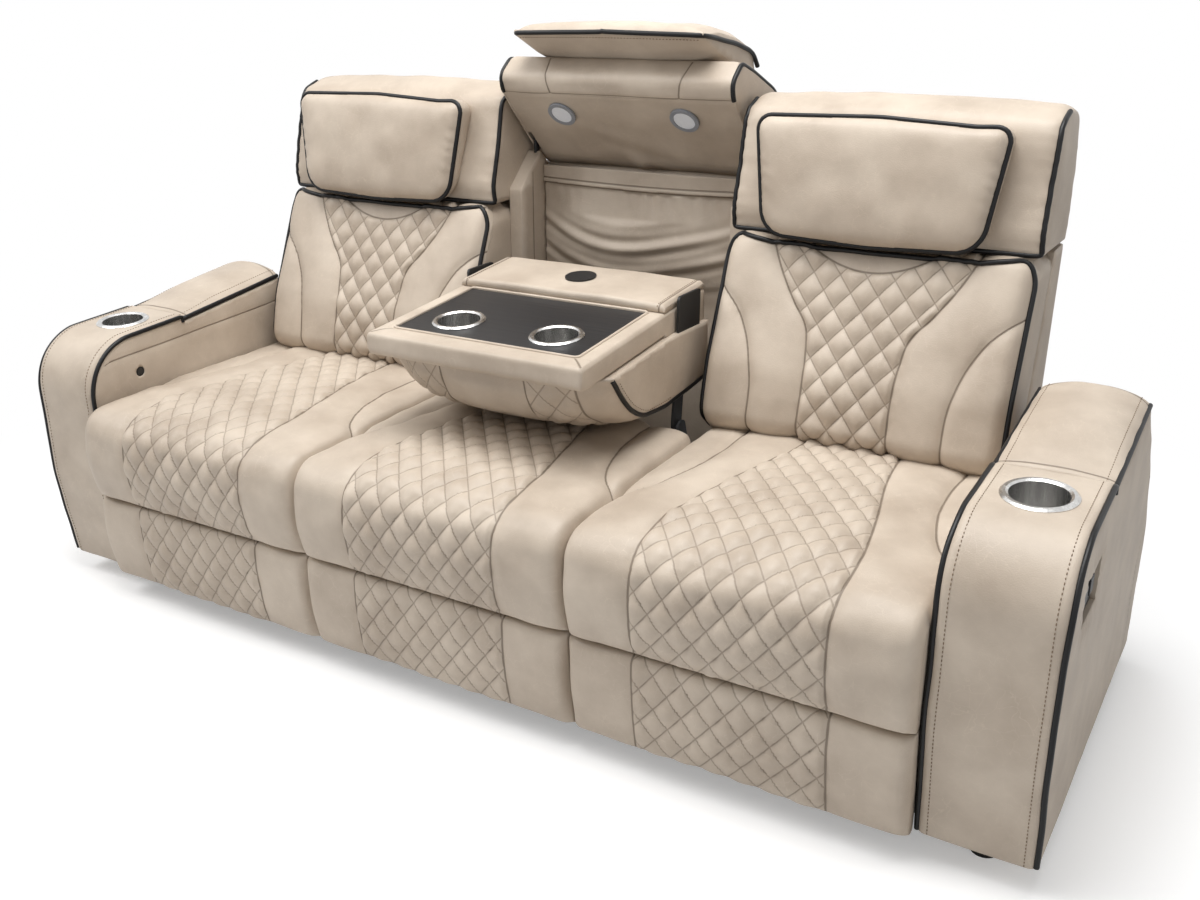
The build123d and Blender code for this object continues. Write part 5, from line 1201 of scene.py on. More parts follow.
# ---------------------------------------------------------------- arms
@dataclass
class Arm:
    """Upholstered arm with piped edges, its cup, control recess, storage well and lid."""

    side: str
    sign: int
    middle: float = 993.0
    half: float = 90.0
    roll: float = 14.0
    top_slope: float = math.tan(math.radians(4.55))
    lid_slope: float = math.tan(math.radians(8.6))
    cup: Span = (-256.0, 47.0)             # y, radius of its hole
    controls: Span = (-272.0, 452.0)       # y, z of the control recess
    button: Span = (-298.0, 482.0)         # y, z of the ring button's hole
    hinge: Span = (141.0, 615.92)          # y, z of the lid's hinge

    def top(self, y: float) -> float:
        """Height of the arm's top."""
        return 561 + (y + 428) * self.top_slope

    def ledge(self, y: float) -> float:
        """Height of the ledge under the lid."""
        return 566 + (y + 161) * self.lid_slope

    def build(self, trim: Trim) -> None:
        """Make the arm and its lid."""
        self.centre = self.sign * self.middle
        self.upholster(trim)
        self.close_lid(trim)

    def outline(self) -> list[Corner]:
        """Side outline, from the rear foot over the top to the front foot."""
        step = self.ledge(147) - 4
        return [(410, 46, 8, 1, 0), (410, 305, 150, 1, 0), (264, 519, 200, 1, 1), (147, step, 14, 0, 1),
                (139, step, 3, 0, 0), (138, self.ledge(136), 3, 0, 0), (-164, self.ledge(-164), 1, 0, 0),
                (-164, self.top(-164), 3, 0, 1), (-428, 561, 118, -1, 1), (-424, 235, 400, -1, 0),
                (-396, 46, 8, -1, 0)]

    def upholster(self, trim: Trim) -> None:
        """Make the arm's body with its wells, piping and topstitches."""
        inner_seam = smooth_path([(-432, 400), (-426, 450), (-412, 492), (-384, 515), (-348, 522), (-213, 531),
                                  (-90, 541), (75, 553), (130, 560)], 8)
        rear_seam = np.array([(300, 60), (300, 470)], float)
        body = SweptBody(f"{self.side}_arm_upholstery", self.centre, self.half, self.outline(), crown=0.6,
                         drawn=self.roll, edge=self.roll / self.half, step=7, columns=22, edge_columns=7,
                         side_step=7.5, side_bulge={-self.sign: 1.6, self.sign: 3.4},
                         side_lines={-self.sign: [inner_seam, rear_seam], self.sign: [rear_seam]})
        loose = np.where((body.loop[:, 1] < 555) | (body.loop[:, 0] < -330), 1.0, 0.25)[:, None]
        body.push(ripple(body.grid, 120, 3 + self.sign) * 1.3 * loose)
        made = body.build(SEAMED)
        self.pucker(made)
        settle(self.open_wells(made), "base", f"{self.side}_arm")
        first, last = body.row_at(7) + 1, body.row_at(10) - 1
        pipes = []
        for side in BOTH:
            path = body.edge_path(side, first, last, 2.6, -1.6)
            x, _, z = path[0]
            pipes.append(np.vstack([[(x, -166.0, z - 13), (x, -166.0, z - 7)], path]))
        trim.pipe(f"{self.side}_arm_piping", "base", pipes)
        stitches = [body.edge_path(side, first + 1, last, 18.0, -0.5) for side in BOTH]
        trim.sew(f"{self.side}_arm_topstitch", "base", stitches)

    def pucker(self, made: Thing) -> None:
        """Gather the outer leather towards the control recess."""
        place = mesh_places(made.data) / MM
        side = self.sign * place[:, 0] > self.middle + self.half - 2
        y, z = place[:, 1] - self.controls[0], place[:, 2] - self.controls[1]
        away = np.hypot(np.maximum(np.abs(y) - 53.5, 0), np.maximum(np.abs(z) - 37, 0))
        gathers = 1.1 * np.sin(np.arctan2(z, y) * 17) * ridge(away - 16, 1, 14)
        dent = dip(away, -2.6, 9) + gathers
        place[side, 0] += self.sign * dent[side]
        made.data.vertices.foreach_set("co", (place * MM).ravel())
        made.data.update()

    def open_wells(self, made: Thing) -> Thing:
        """Cut the storage well, the cup's hole, the control recess and the button's hole."""
        centre, sign = self.centre, self.sign
        outer, inner = sign * (self.middle + self.half), sign * (self.middle - self.half)
        y, radius = self.cup
        foot = (centre, y + 82 * self.top_slope, self.top(y) - 82)
        head = (centre, y - 30 * self.top_slope, self.top(y) + 30)
        cutter = Shells().box((centre - 64.8, centre + 64.8), (-138, 113), (404, 720))
        cutter.rod(foot, head, radius, 64)
        cutter.box((outer - sign * 12, outer + sign * 20), (-325.5, -218.5), (415, 489))
        cutter.pin((inner - sign * 12, inner + sign * 9), *self.button, 11, 40)
        return cut_away(made, cutter.build("well_cutter", SEAMED))

    def close_lid(self, trim: Trim) -> None:
        """Make the crowned lid with its piped lower edges and its hinge knuckle."""
        name, centre = f"{self.side}_arm_lid_body", self.centre
        low, high = self.ledge(-161) + 1, self.ledge(136) + 1
        corners = [(-161, low, 2, 0, 0), (-161, low + 9, 14, 0, 1), (136, high + 9, 14, 0, 1),
                   (136, high, 2, 0, 0)]
        body = SweptBody(f"{self.side}_arm_lid_pad", centre, 87, corners, step=4.5, columns=48, edge=0.06,
                         edge_columns=4, side_step=8,
                         profile=[(0, 26.5), (0.3, 25), (0.6, 19), (0.8, 12.5), (0.92, 6.5), (1, 0)])
        y, z = body.grid[..., 1], body.grid[..., 2]
        base = np.where(z > self.ledge(y) + 6, self.ledge(y) + 9, z)
        body.grid[..., 2] = base + (z - base) * (0.32 + 0.68 * step_up(y, -165, -30))
        body.find_normals()
        top = body.normal[..., 2] > 0.2
        groove = 0.0
        for slot, seam in enumerate((-151, 124)):
            body.seams[..., slot] = np.where(top, body.grid[..., 1] - seam, FAR)
            groove = groove + ridge(body.seams[..., slot], 1, 4)
        body.push(np.where(top, ripple(body.grid, 80, 13 + self.sign) * 0.8 - 0.9 * groove, 0))
        settle(body.build(SEAMED), name, f"{self.side}_arm_lid")
        pipes = []
        for side in BOTH:
            edge = [(centre + side * 87.6, y, self.ledge(y) + 6.0) for y in np.linspace(-159, 134, 40)]
            pipes.append(np.array([(edge[0][0] - 6 * side, -163, edge[0][2]), *edge]))
        trim.pipe(f"{self.side}_arm_lid_piping", name, pipes)
        rows = body.row_at(1), body.row_at(2)
        stitches = [body.edge_path(side, *rows, 13.0, -0.2) for side in BOTH]
        trim.sew(f"{self.side}_arm_lid_topstitch", name, stitches)
        wide = (centre - 30, centre + 30)
        knuckle = Shells().pin(wide, *self.hinge, 5.5).box(wide, (126, 140), (613.9, 617.9))
        settle(knuckle.build(f"{self.side}_arm_lid_knuckle", BLACK_STEEL), name)


# ---------------------------------------------------------------- outer backs
@dataclass
class OuterBack:
    """One outer back: bucket cushion, upholstered frame, head rest block and bolster."""

    side: str
    sign: int
    offset: float = 577.0
    half: float = 292.0
    corner: float = 30.0
    quilt: Pairs = ((463, 87), (576, 86), (627, 89), (681, 103), (711, 128), (776, 172), (816, 192))
    wing: Pairs = ((460, 187), (590, 194), (650, 215), (700, 250), (731, 290), (760, 350))
    strap: Span = (48.0, 80.0)             # x of a head rest strap, from the middle
    hinge: Span = (230.0, 832.0)           # y, z of the head rest's hinge
    pivot: Span = (164.0, 340.0)           # y, z of the recliner's pivot

    def build(self, trim: Trim) -> None:
        """Make the whole back."""
        self.centre = self.sign * self.offset
        self.cushion(trim)
        self.frame()
        self.head(trim)
        self.bolster(trim)

    def bulges(self, outer: float) -> dict[int, float]:
        """How far the outer side panel stands out; the inner one lies against its neighbour."""
        return {self.sign: outer, -self.sign: 0.2}

    def narrowed(self, places: Array) -> Array:
        """Narrowing at the cushion's rounded upper corners."""
        top = np.minimum(812 + (places[:, 0] - 178) * 0.2222, 824)
        below = np.clip(self.corner - (top - places[:, 1]), 0, self.corner)
        return self.corner - np.sqrt(self.corner ** 2 - below ** 2)

    def straps(self) -> list[Span]:
        """Where each head rest strap begins and ends in x."""
        return [tuple(sorted(self.centre + side * wide for wide in self.strap)) for side in BOTH]

    def cushion(self, trim: Trim) -> None:
        """Make the bucket cushion: quilted middle, puffed wings, plain crescent under the head rest."""
        corners = [(109, 452, 12, -1, 0), (65, 487, 30, -1, 0), (75, 540, 160, -1, 0), (86, 588, 200, -1, 0),
                   (111, 647, 200, -1, 0), (148, 739, 200, -1, 0), (179, 815, 12, -1, 0), (232, 824, 4, -1, 0),
                   (299.6, 824, 4, 0, 0), (189.6, 452, 4, 0, 0)]
        body = SweptBody(f"{self.side}_back_pad", self.centre, self.half, corners, crown=5, drawn=16, edge=0.2,
                         step=4.6, taper=self.narrowed, side_bulge=self.bulges(1.5))
        y, z = body.loop[:, 0], body.loop[:, 1]
        front = ((np.arange(len(y)) <= body.row_at(7)) & (y < 186 + (z - 452) * 0.29))[:, None]
        strip = body.side_seam(0, spread(self.quilt, z))
        wings = body.side_seam(1, spread(self.wing, z))
        arc = z[:, None] - 779 - 24 * (body.x / 95) ** 2
        body.seams[..., 2] = np.where(strip < 0, np.clip(arc, -FAR, FAR), FAR)
        inside = np.maximum(strip, np.where(np.abs(body.x) < 130, arc, -FAR))
        body.seams[..., 0] = np.where(strip < 0, np.clip(inside, -FAR, FAR), body.seams[..., 0])
        start = float(body.along[body.row_at(3)]) + 5
        puff = np.where(strip > 0, swell(strip, 13, 20) - dip(wings, 9, 11), 0)
        rim = step_up(body.half - np.abs(body.x), 2, 26)
        folds = ripple(body.grid, 95, 41 + self.sign) * 1.3
        waves = np.sin((z + 9 * np.sin(z / 31)) / 5.2)[:, None]
        pinch = waves * dip(strip, 1, 9) * np.where(strip > 0, 0.5, 0)
        body.push((body.quilting(inside, start, 9.5) + puff * rim + folds * rim + pinch) * front)
        name = f"{self.side}_back"
        settle(body.build(QUILTED, start), name, f"{self.side}_back_cushion")
        top = body.row_at(6)
        insets = {self.sign: 3.0, -self.sign: 6.6}     # the inner piping clears the middle back
        left, right = (body.edge_path(side, 1, top - 1, insets[side], -1.6) for side in BOTH)
        across = body.row_path(top, -0.985, 0.985, -1.6, 90)
        trim.pipe(f"{self.side}_back_piping", name, [even_path(np.vstack([left, across, right[::-1]]), 9)])

    def frame(self) -> None:
        """Make the upholstered frame, its lower part, pivot bosses and head rest straps."""
        name = f"{self.side}_back"
        upper = SweptBody(f"{self.side}_back_cover", self.centre, self.half,
                          [(190, 452, 3, 0, 0), (300, 824, 3, 0, 0), (384, 828, 10, 1, 0),
                           (352, 452, 10, 1, 0)],
                          crown=1.5, drawn=10, edge=0.05, step=9, columns=50, edge_columns=6,
                          side_bulge=self.bulges(3.0))
        upper.push(np.where(upper.normal[..., 1] > 0.5, ripple(upper.grid, 150, 51) * 1.5, 0))
        settle(upper.build(PLAIN), name, f"{self.side}_back_frame")
        middle = self.sign * SEAT_PITCH
        lower = SweptBody(f"{self.side}_back_skirt", middle, 250,
                          [(122, 330, 10, 0, 0), (122, 444, 4, 0, 0), (188, 450, 1, 0, 0), (193, 454, 1, 0, 0),
                           (351, 454, 1, 0, 0), (344, 330, 20, 0, 0)], crown=0, drawn=1, edge=0.02, step=12,
                          columns=14, edge_columns=2, side_step=30)
        settle(lower.build(PLAIN), name)
        metal = Shells()
        for side, (low, high) in zip(BOTH, self.straps()):
            metal.pin((middle + side * 249, middle + side * 258), *self.pivot, 22, 40)
            metal.box((low, high), (230, 310), (829.5, 832.4)).box((low, high), (305, 312), (820, 832.4))
            metal.pin((low - 8, high + 8), *self.hinge, 3, 20).pin((low, high), *self.hinge, 5.5)
        settle(metal.build(f"{self.side}_back_hinges", BLACK_STEEL), name)

    def head(self, trim: Trim) -> None:
        """Make the padded head rest block with its piped front edges."""
        corners = [(228, 833, 3, 0, 0), (197, 831, 7, -1, 0), (191, 868, 60, -1, 0), (212.4, 950, 300, -1, 0),
                   (232, 1050, 40, -1, 1), (299, 1080, 90, 0, 1), (389, 1062, 50, 1, 1), (406, 960, 200, 1, 0),
                   (398, 834, 10, 1, 0)]
        body = SweptBody(f"{self.side}_head_pad", self.centre, self.half, corners, crown=4, drawn=9, edge=0.09,
                         step=7, columns=90, edge_columns=8, side_bulge=self.bulges(4.0))
        share = np.clip(np.abs(body.x) / self.half, 0, 1)
        upper = step_up(body.grid[..., 2], 1040, 1075)
        body.grid[..., 2] += 9 * (1 - share ** 2.4) * upper - 4 * upper
        body.find_normals()
        z = body.grid[..., 2]
        near = dip(self.half - np.abs(body.x), 1, 26)
        pinch = np.sin(z / 4.1 + 2.2 * np.sin(z / 23)) * near * np.where(body.normal[..., 1] < -0.3, 0.9, 0)
        folds = ripple(body.grid, 130, 61 + self.sign) * 1.6
        body.push(np.where(body.normal[..., 2] > -0.5, folds + pinch, 0))
        cutter, ears = Shells(), Shells()
        for low, high in self.straps():
            cutter.box((low - 10, high + 10), (218, 320), (815, 842))
            for x in (low - 7, high + 7):
                ears.pin((x - 2.6, x + 2.6), *self.hinge, 6).box((x - 2.6, x + 2.6), (228, 242), (833, 846))
        name = f"{self.side}_head"
        made = cut_away(body.build(PLAIN), cutter.build("strap_cutter", PLAIN))
        settle(made, name, f"{self.side}_head_block")
        settle(ears.build(f"{self.side}_head_ears", BLACK_STEEL), name)
        bottom, over = body.row_at(1), body.row_at(4) + 8
        left, right = (body.edge_path(side, bottom, over, 3.0, -1.2) for side in BOTH)
        across = body.row_path(bottom, -0.98, 0.98, -0.6, 80)
        trim.pipe(f"{self.side}_head_piping", name, [even_path(np.vstack([left[::-1], across, right]), 9)])

    def bolster(self, trim: Trim) -> None:
        """Make the piped bolster on the head rest."""
        name = f"{self.side}_head"
        made, rim = Bolster(f"{self.side}_head_bolster", self.centre - 8).shape()
        settle(made, name, f"{self.side}_head_pillow")
        trim.pipe(f"{self.side}_bolster_piping", name, [even_path(rim, 9)], PIPE, True)


@dataclass
class Bolster:
    """Head rest bolster: a rounded trapezoid that stands on the block and bulges forward."""

    name: str
    centre: float
    bottom: Span = (152.0, 828.0)
    top: Span = (178.0, 1052.0)
    bottom_half: float = 206.0
    top_half: float = 236.0
    top_corner: float = 24.0
    bottom_corner: float = 52.0
    bulge: float = 27.0

    def shape(self) -> tuple[Thing, Array]:
        """Build the mesh.

        Returns:
            The object, and the places along its piped rim.
        """
        face_bottom, face_top = np.array(self.bottom), np.array(self.top)
        root_bottom, root_top = np.array((190.0, 838.0)), np.array((232.0, 1048.0))
        height = float(np.linalg.norm(face_top - face_bottom))
        rings = []
        counts = None
        for share, inset in ((0.0, 10.0), (0.25, 4.0), (0.5, 0.5), (0.75, 0.0), (0.9, 1.5), (1.0, 4.0)):
            low = root_bottom + (face_bottom - root_bottom) * share
            high = root_top + (face_top - root_top) * share
            flat, used = self.outline(height, inset, counts)
            counts = counts or used
            rings.append(self.lay(flat, low, (high - low) / height))
        flat, _ = self.outline(height, 4.0, counts)
        inner, depth, triangles = fill_outline(flat, 6.5)
        up = (face_top - face_bottom) / height
        out = np.array((-up[1], up[0]))
        half = self.bottom_half + (self.top_half - self.bottom_half) * inner[:, 1] / height
        u, v = inner[:, 0] / half, 2 * inner[:, 1] / height - 1
        dome = np.clip((1 - np.abs(u) ** 3.2) * (1 - np.abs(v) ** 2.6), 0, 1) ** 0.55
        rise = self.bulge * (swell(depth, 0.42, 9) + 0.58 * dome)
        places = self.lay(inner, face_bottom, up)
        side = dip(depth, 1, 16)
        slant = (inner[:, 1] + 0.55 * inner[:, 0]) / 4.6 + 2 * np.sin(inner[:, 1] / 19)
        rise += 1.5 * np.sin(slant) * side * step_up(np.abs(u), 0.75, 0.95)
        rise += ripple(places, 90, 71) * 1.5 * (1 - side)
        places[:, 1:] += rise[:, None] * out
        count = len(flat)
        verts = np.vstack([*rings, places])
        faces = []
        for base in range(0, (len(rings) - 1) * count, count):
            for k in range(count):
                after = (k + 1) % count
                faces.append((base + k, base + after, base + count + after, base + count + k))
        last = (len(rings) - 1) * count
        index = np.concatenate([last + np.arange(count), last + count + np.arange(len(inner))])
        faces += index[triangles].tolist()
        faces.append(list(range(count))[::-1])
        made = make_object(self.name, verts, faces, PLAIN.material(), np.zeros((len(verts), 2)),
                           np.full((len(verts), 3), FAR))
        face_outwards(made)
        rim = (rings[4] + rings[5]) / 2
        rim[:, 1:] += out * 1.5
        return made, rim

    def outline(self, height: float, inset: float,
                counts: Optional[list[tuple[int, int]]]) -> tuple[Array, list[tuple[int, int]]]:
        """Rounded outline, inset from the full size, with a lower edge that sags and an upper one that bows."""
        low, high = -self.bottom_half + inset, self.top_half - inset
        corners = [(low, inset + 3, self.bottom_corner), (0, inset - 5, 300),
                   (-low, inset + 3, self.bottom_corner),
                   (high, height - inset - 3, self.top_corner), (high - 62, height - inset - 6, 40),
                   (0, height - inset + 3, 400), (-high, height - inset - 2, self.top_corner)]
        return rounded_corners(corners, 6.0, counts)

    def lay(self, flat: Array, low: Array, up: Array) -> Array:
        """Lay (across, up) places in the plane that rises from low along up."""
        return np.column_stack([self.centre + flat[:, 0], low[None, :] + flat[:, 1:2] * up[None, :]])


# ---------------------------------------------------------------- middle back
@dataclass
class CentreBack:
    """Middle back behind the console: turned-up head rest, posts, board and gathered pocket."""

    head_half: float = 272.0
    post: Span = (254.0, 284.0)
    hinge: Span = (329.0, 965.0)

    def build(self, trim: Trim) -> None:
        """Make the whole middle back."""
        self.block(trim)
        self.visor(trim)
        self.posts()
        self.rear()
        self.pocket()

    def block(self, trim: Trim) -> None:
        """Make the turned-up head rest block: its wrinkled underside faces the front."""
        corners = [(212, 1066, 8, 0, 0), (203, 1100, 60, -1, 0), (244, 1136, 16, 0, 1), (300, 1119, 200, 0, 1),
                   (404, 1080, 200, 0, 1), (439, 1051, 40, 1, 1), (457, 995, 60, 1, 0), (442, 916, 16, 1, -1),
                   (376, 907, 16, 0, -1), (347, 926, 6, 0, 0)]
        body = SweptBody("centre_head_pad", 0.0, self.head_half, corners, crown=2.5, drawn=9, edge=0.08, step=6,
                         columns=96, edge_columns=8, side_bulge={-1: 0.6, 1: 0.6})
        y, z = body.grid[..., 1], body.grid[..., 2]
        under = (body.normal[..., 1] < -0.2) & (body.normal[..., 2] < -0.2)
        first, second = body.row_at(0), body.row_at(2)
        rows = np.arange(len(body.loop))
        band = ((rows >= first) & (rows <= second))[:, None]
        dart = 151 + 15 * np.clip((z - 1070) / 71, 0, 1)
        body.seams[..., 0] = np.where(band, np.clip(np.abs(body.x) - dart, -FAR, FAR), FAR)
        body.seams[..., 1] = np.clip(body.along - body.along[first], -FAR, FAR)[:, None]
        groove = np.where(band, ridge(body.seams[..., 0], 1, 5), 0) + ridge(body.seams[..., 1], 1, 5)
        low = np.clip((1066 - z) / 140, 0, 1) * np.clip((1 - np.abs(body.x) / 290), 0, 1)
        wrinkle = np.sin(z / 8.5 + 2.4 * np.sin(body.x / 120) + 1.3 * np.sin(body.x / 47 + z / 30)) * 2.0 * low
        narrow = np.clip((z - 900) / 10, 0, 1) * np.clip((960 - z) / 40, 0, 1)
        sag = ridge(body.x + 12, -6.5, 17) * narrow
        body.push(np.where(under, wrinkle + ripple(body.grid, 110, 81) * 1.6, 0) - 1.6 * groove
                  + np.where(band, ripple(body.grid, 90, 83) * 1.2, 0))
        body.grid[..., 2] += np.where((y < 400) & (z < 965), sag, 0)
        made = body.build(SEAMED)
        cutter = Shells()
        out = np.array((0.0, -0.7200, -0.6940))     # the way the reading lights face
        for side in BOTH:
            light = np.array((side * 145.0, 252.5, 1024.0))
            cutter.rod(light - out * 13, light + out * 14, 28.3)
            cutter.pin((side * 257, side * 280), *self.hinge, 30.5, 48)
            cutter.pin((side * 246, side * 258), *self.hinge, 4.6)
        made = cut_away(made, cutter.build("light_cutter", SEAMED))
        settle(made, "centre_head", "centre_head_block")
        pipes = [even_path(body.edge_path(side, first, body.row_at(5), 4.0, 0.4), 8) for side in BOTH]
        trim.pipe("centre_head_piping", "centre_head", pipes)
        start, end = body.row_at(9), len(body.loop) - 1
        welts = [even_path(body.edge_path(side, start, end, 3.0, 0.4), 8) for side in BOTH]
        trim.pipe("centre_head_welt", "centre_head", welts, 2.2, finish=PLAIN)

    def visor(self, trim: Trim) -> None:
        """Make the turned-up bolster, which stands out like a visor."""
        corners = [(176, 1186, 5, 0, 0), (192, 1204, 14, 0, 1), (250, 1206, 60, 0, 1), (330, 1194, 120, 0, 1),
                   (400, 1172, 60, 0, 1), (442, 1124, 24, 1, 1), (434, 1064.6, 8, 0, -1),
                   (404, 1080.4, 200, 0, -1),
                   (300, 1119.4, 200, 0, -1), (247, 1137, 12, 0, -1)]
        body = SweptBody("centre_head_visor", 0.0, 215, corners, edge=0.14, step=6, columns=84, edge_columns=9,
                         profile=[(0, 2), (0.4, 1.5), (0.6, 0), (0.8, -2), (0.93, -8), (1, -17)], side_step=12)
        share = np.clip(np.abs(body.x) / 215, 0, 1)
        body.push(np.where(body.normal[..., 1] < 0.9, ripple(body.grid, 110, 91) * 1.2 * (1 - share ** 6), 0))
        settle(body.build(PLAIN), "centre_head", "centre_head_pillow")
        side = [(436, 1120), (414, 1142), (391, 1153), (360, 1160), (327, 1167), (280, 1173), (237, 1179),
                (200, 1183)]
        right = [(215.5, y, z) for y, z in side]
        left = [(-x, y, z) for x, y, z in right[::-1]]
        front = [(208, 180, 1184.5), (190, 174, 1185.5), (120, 172, 1187), (8, 172, 1189.5), (0, 171.5, 1190.5),
                 (-8, 172, 1189), (-120, 172, 1187), (-190, 174, 1185.5), (-208, 180, 1184.5)]
        trim.pipe("centre_visor_piping", "centre_head", [smooth_path(right + front + left, 7)])
        stitches = smooth_path([(202, 186, 1176), (120, 181, 1177), (0, 180, 1178), (-120, 181, 1177),
                                (-202, 186, 1176)], 6)
        trim.sew("centre_visor_topstitch", "centre_head", [stitches])

    def posts(self) -> None:
        """Make the two padded posts and the steel ears of the head rest hinge."""
        for name, side in (("left", -1), ("right", 1)):
            body = SweptBody(f"centre_post_{name}", side * sum(self.post) / 2, 15.0,
                             [(250, 300, 4, 0, 0), (250, 857, 6, 0, 0), (329, 936, 4, 0, 0),
                              (358, 907, 2, 0, 0), (358, 300, 2, 0, 0)],
                             crown=0, drawn=2.5, edge=0.3, step=9, columns=6, edge_columns=4, side_step=20,
                             side_lines={-side: [np.array([(300.0, 305.0), (300.0, 890.0)])]})
            settle(body.build(SEAMED), "base", "centre_posts" if side > 0 else "")
        metal = Shells()
        for side in BOTH:
            metal.box((side * 260, side * 267), (322, 336), (916, 970))
            metal.pin((side * 249, side * 267), *self.hinge, 4)
        settle(metal.build("centre_head_hinge_ears", BLACK_STEEL, 1.5), "base")

    def rear(self) -> None:
        """Make the board behind the recess and the padded cover on its rear."""
        cover = SweptBody("centre_back_cover", 0.0, 284,
                          [(370.4, 110, 4, 0, 0), (370.4, 904, 4, 0, 0), (402, 907, 8, 1, 0),
                           (382, 110, 10, 1, 0)],
                          crown=1.5, drawn=8, edge=0.05, step=10, columns=40, edge_columns=5)
        cover.push(np.where(cover.normal[..., 1] > 0.5, ripple(cover.grid, 160, 101) * 1.5, 0))
        settle(cover.build(PLAIN), "base", "centre_back_frame")
        board = Shells().box((-284, 284), (358, 370), (110, 893)).box((-284, 284), (340, 370), (50, 130))
        settle(board.build("centre_back_board", BOARD), "base")

    def pocket(self) -> None:
        """Make the gathered leather pocket: a plain band over a swagged sheet."""
        x = np.linspace(-253, 253, 150)[None, :]
        z = np.linspace(903, 300, 170)[:, None]
        hem = 866 - 6 * np.cos(x / 180)
        below = np.clip(hem - z, 0, None)
        sag = 66 * np.clip(1 - ((x + 15) / 275) ** 2, 0, 1) * np.clip(below / 60, 0, 1)
        level = below - sag + 5 * np.sin(x / 60)
        depth = ridge(below - 105, 1, 85)
        folded = np.sin(level / 7.4 + 0.7 * np.sin(x / 75)) + 0.5 * np.sin(level / 4.3 + 1.2 + x / 160)
        fold = folded * 3.4 * depth * (0.45 + 0.55 * np.clip(1 - np.abs(x + 10) / 260, 0, 1) ** 0.5)
        belly = ridge(below - 120, 24, 85) * np.clip(1 - (x / 255) ** 4, 0, 1)
        gathers = np.sin((x - 0.25 * below) / 6.3 + 2.0 * np.sin(x / 29)) * 4.2 * dip(below, 1, 40)
        gathers = gathers * np.clip(below / 6, 0, 1) * (ridge(x - 70, 0.8, 70) + 0.25)
        band = np.where(z > hem, ridge(z - hem - 4, 3.0, 4.5), 0)
        keep = np.clip((z - 610) / 60, 0, 1)
        y = 346.5 - (fold + belly + gathers + band) * keep - np.where(z > hem, 5, 0) * keep
        y = np.minimum(y, 346.5)
        shape = np.broadcast_shapes(x.shape, z.shape)
        front = np.stack([np.broadcast_to(x, shape), y, np.broadcast_to(z, shape)], -1)
        back = front + np.array((0.0, 1.6, 0.0))
        rows, columns = shape
        count = rows * columns
        quads = grid_faces(rows, columns, False, False)
        faces = quads.tolist() + (quads[:, ::-1] + count).tolist()
        border = list(range(columns)) + [r * columns + columns - 1 for r in range(1, rows)]
        border += [count - 2 - k for k in range(columns - 1)] + [r * columns for r in range(rows - 2, 0, -1)]
        faces += [[b, a, a + count, b + count] for a, b in zip(border, border[1:] + border[:1])]
        seams = np.full((2 * count, 3), FAR)
        seams[:count, 0] = np.clip(z - hem, -FAR, FAR).ravel()
        seams[:count, 1] = np.clip(z - hem - 11, -FAR, FAR).ravel()
        made = make_object("recess_pocket_sheet", np.vstack([front.reshape(-1, 3), back.reshape(-1, 3)]), faces,
                           SEAMED.material(), np.zeros((2 * count, 2)), seams)
        face_outwards(made)
        settle(made, "base", "recess_pocket")


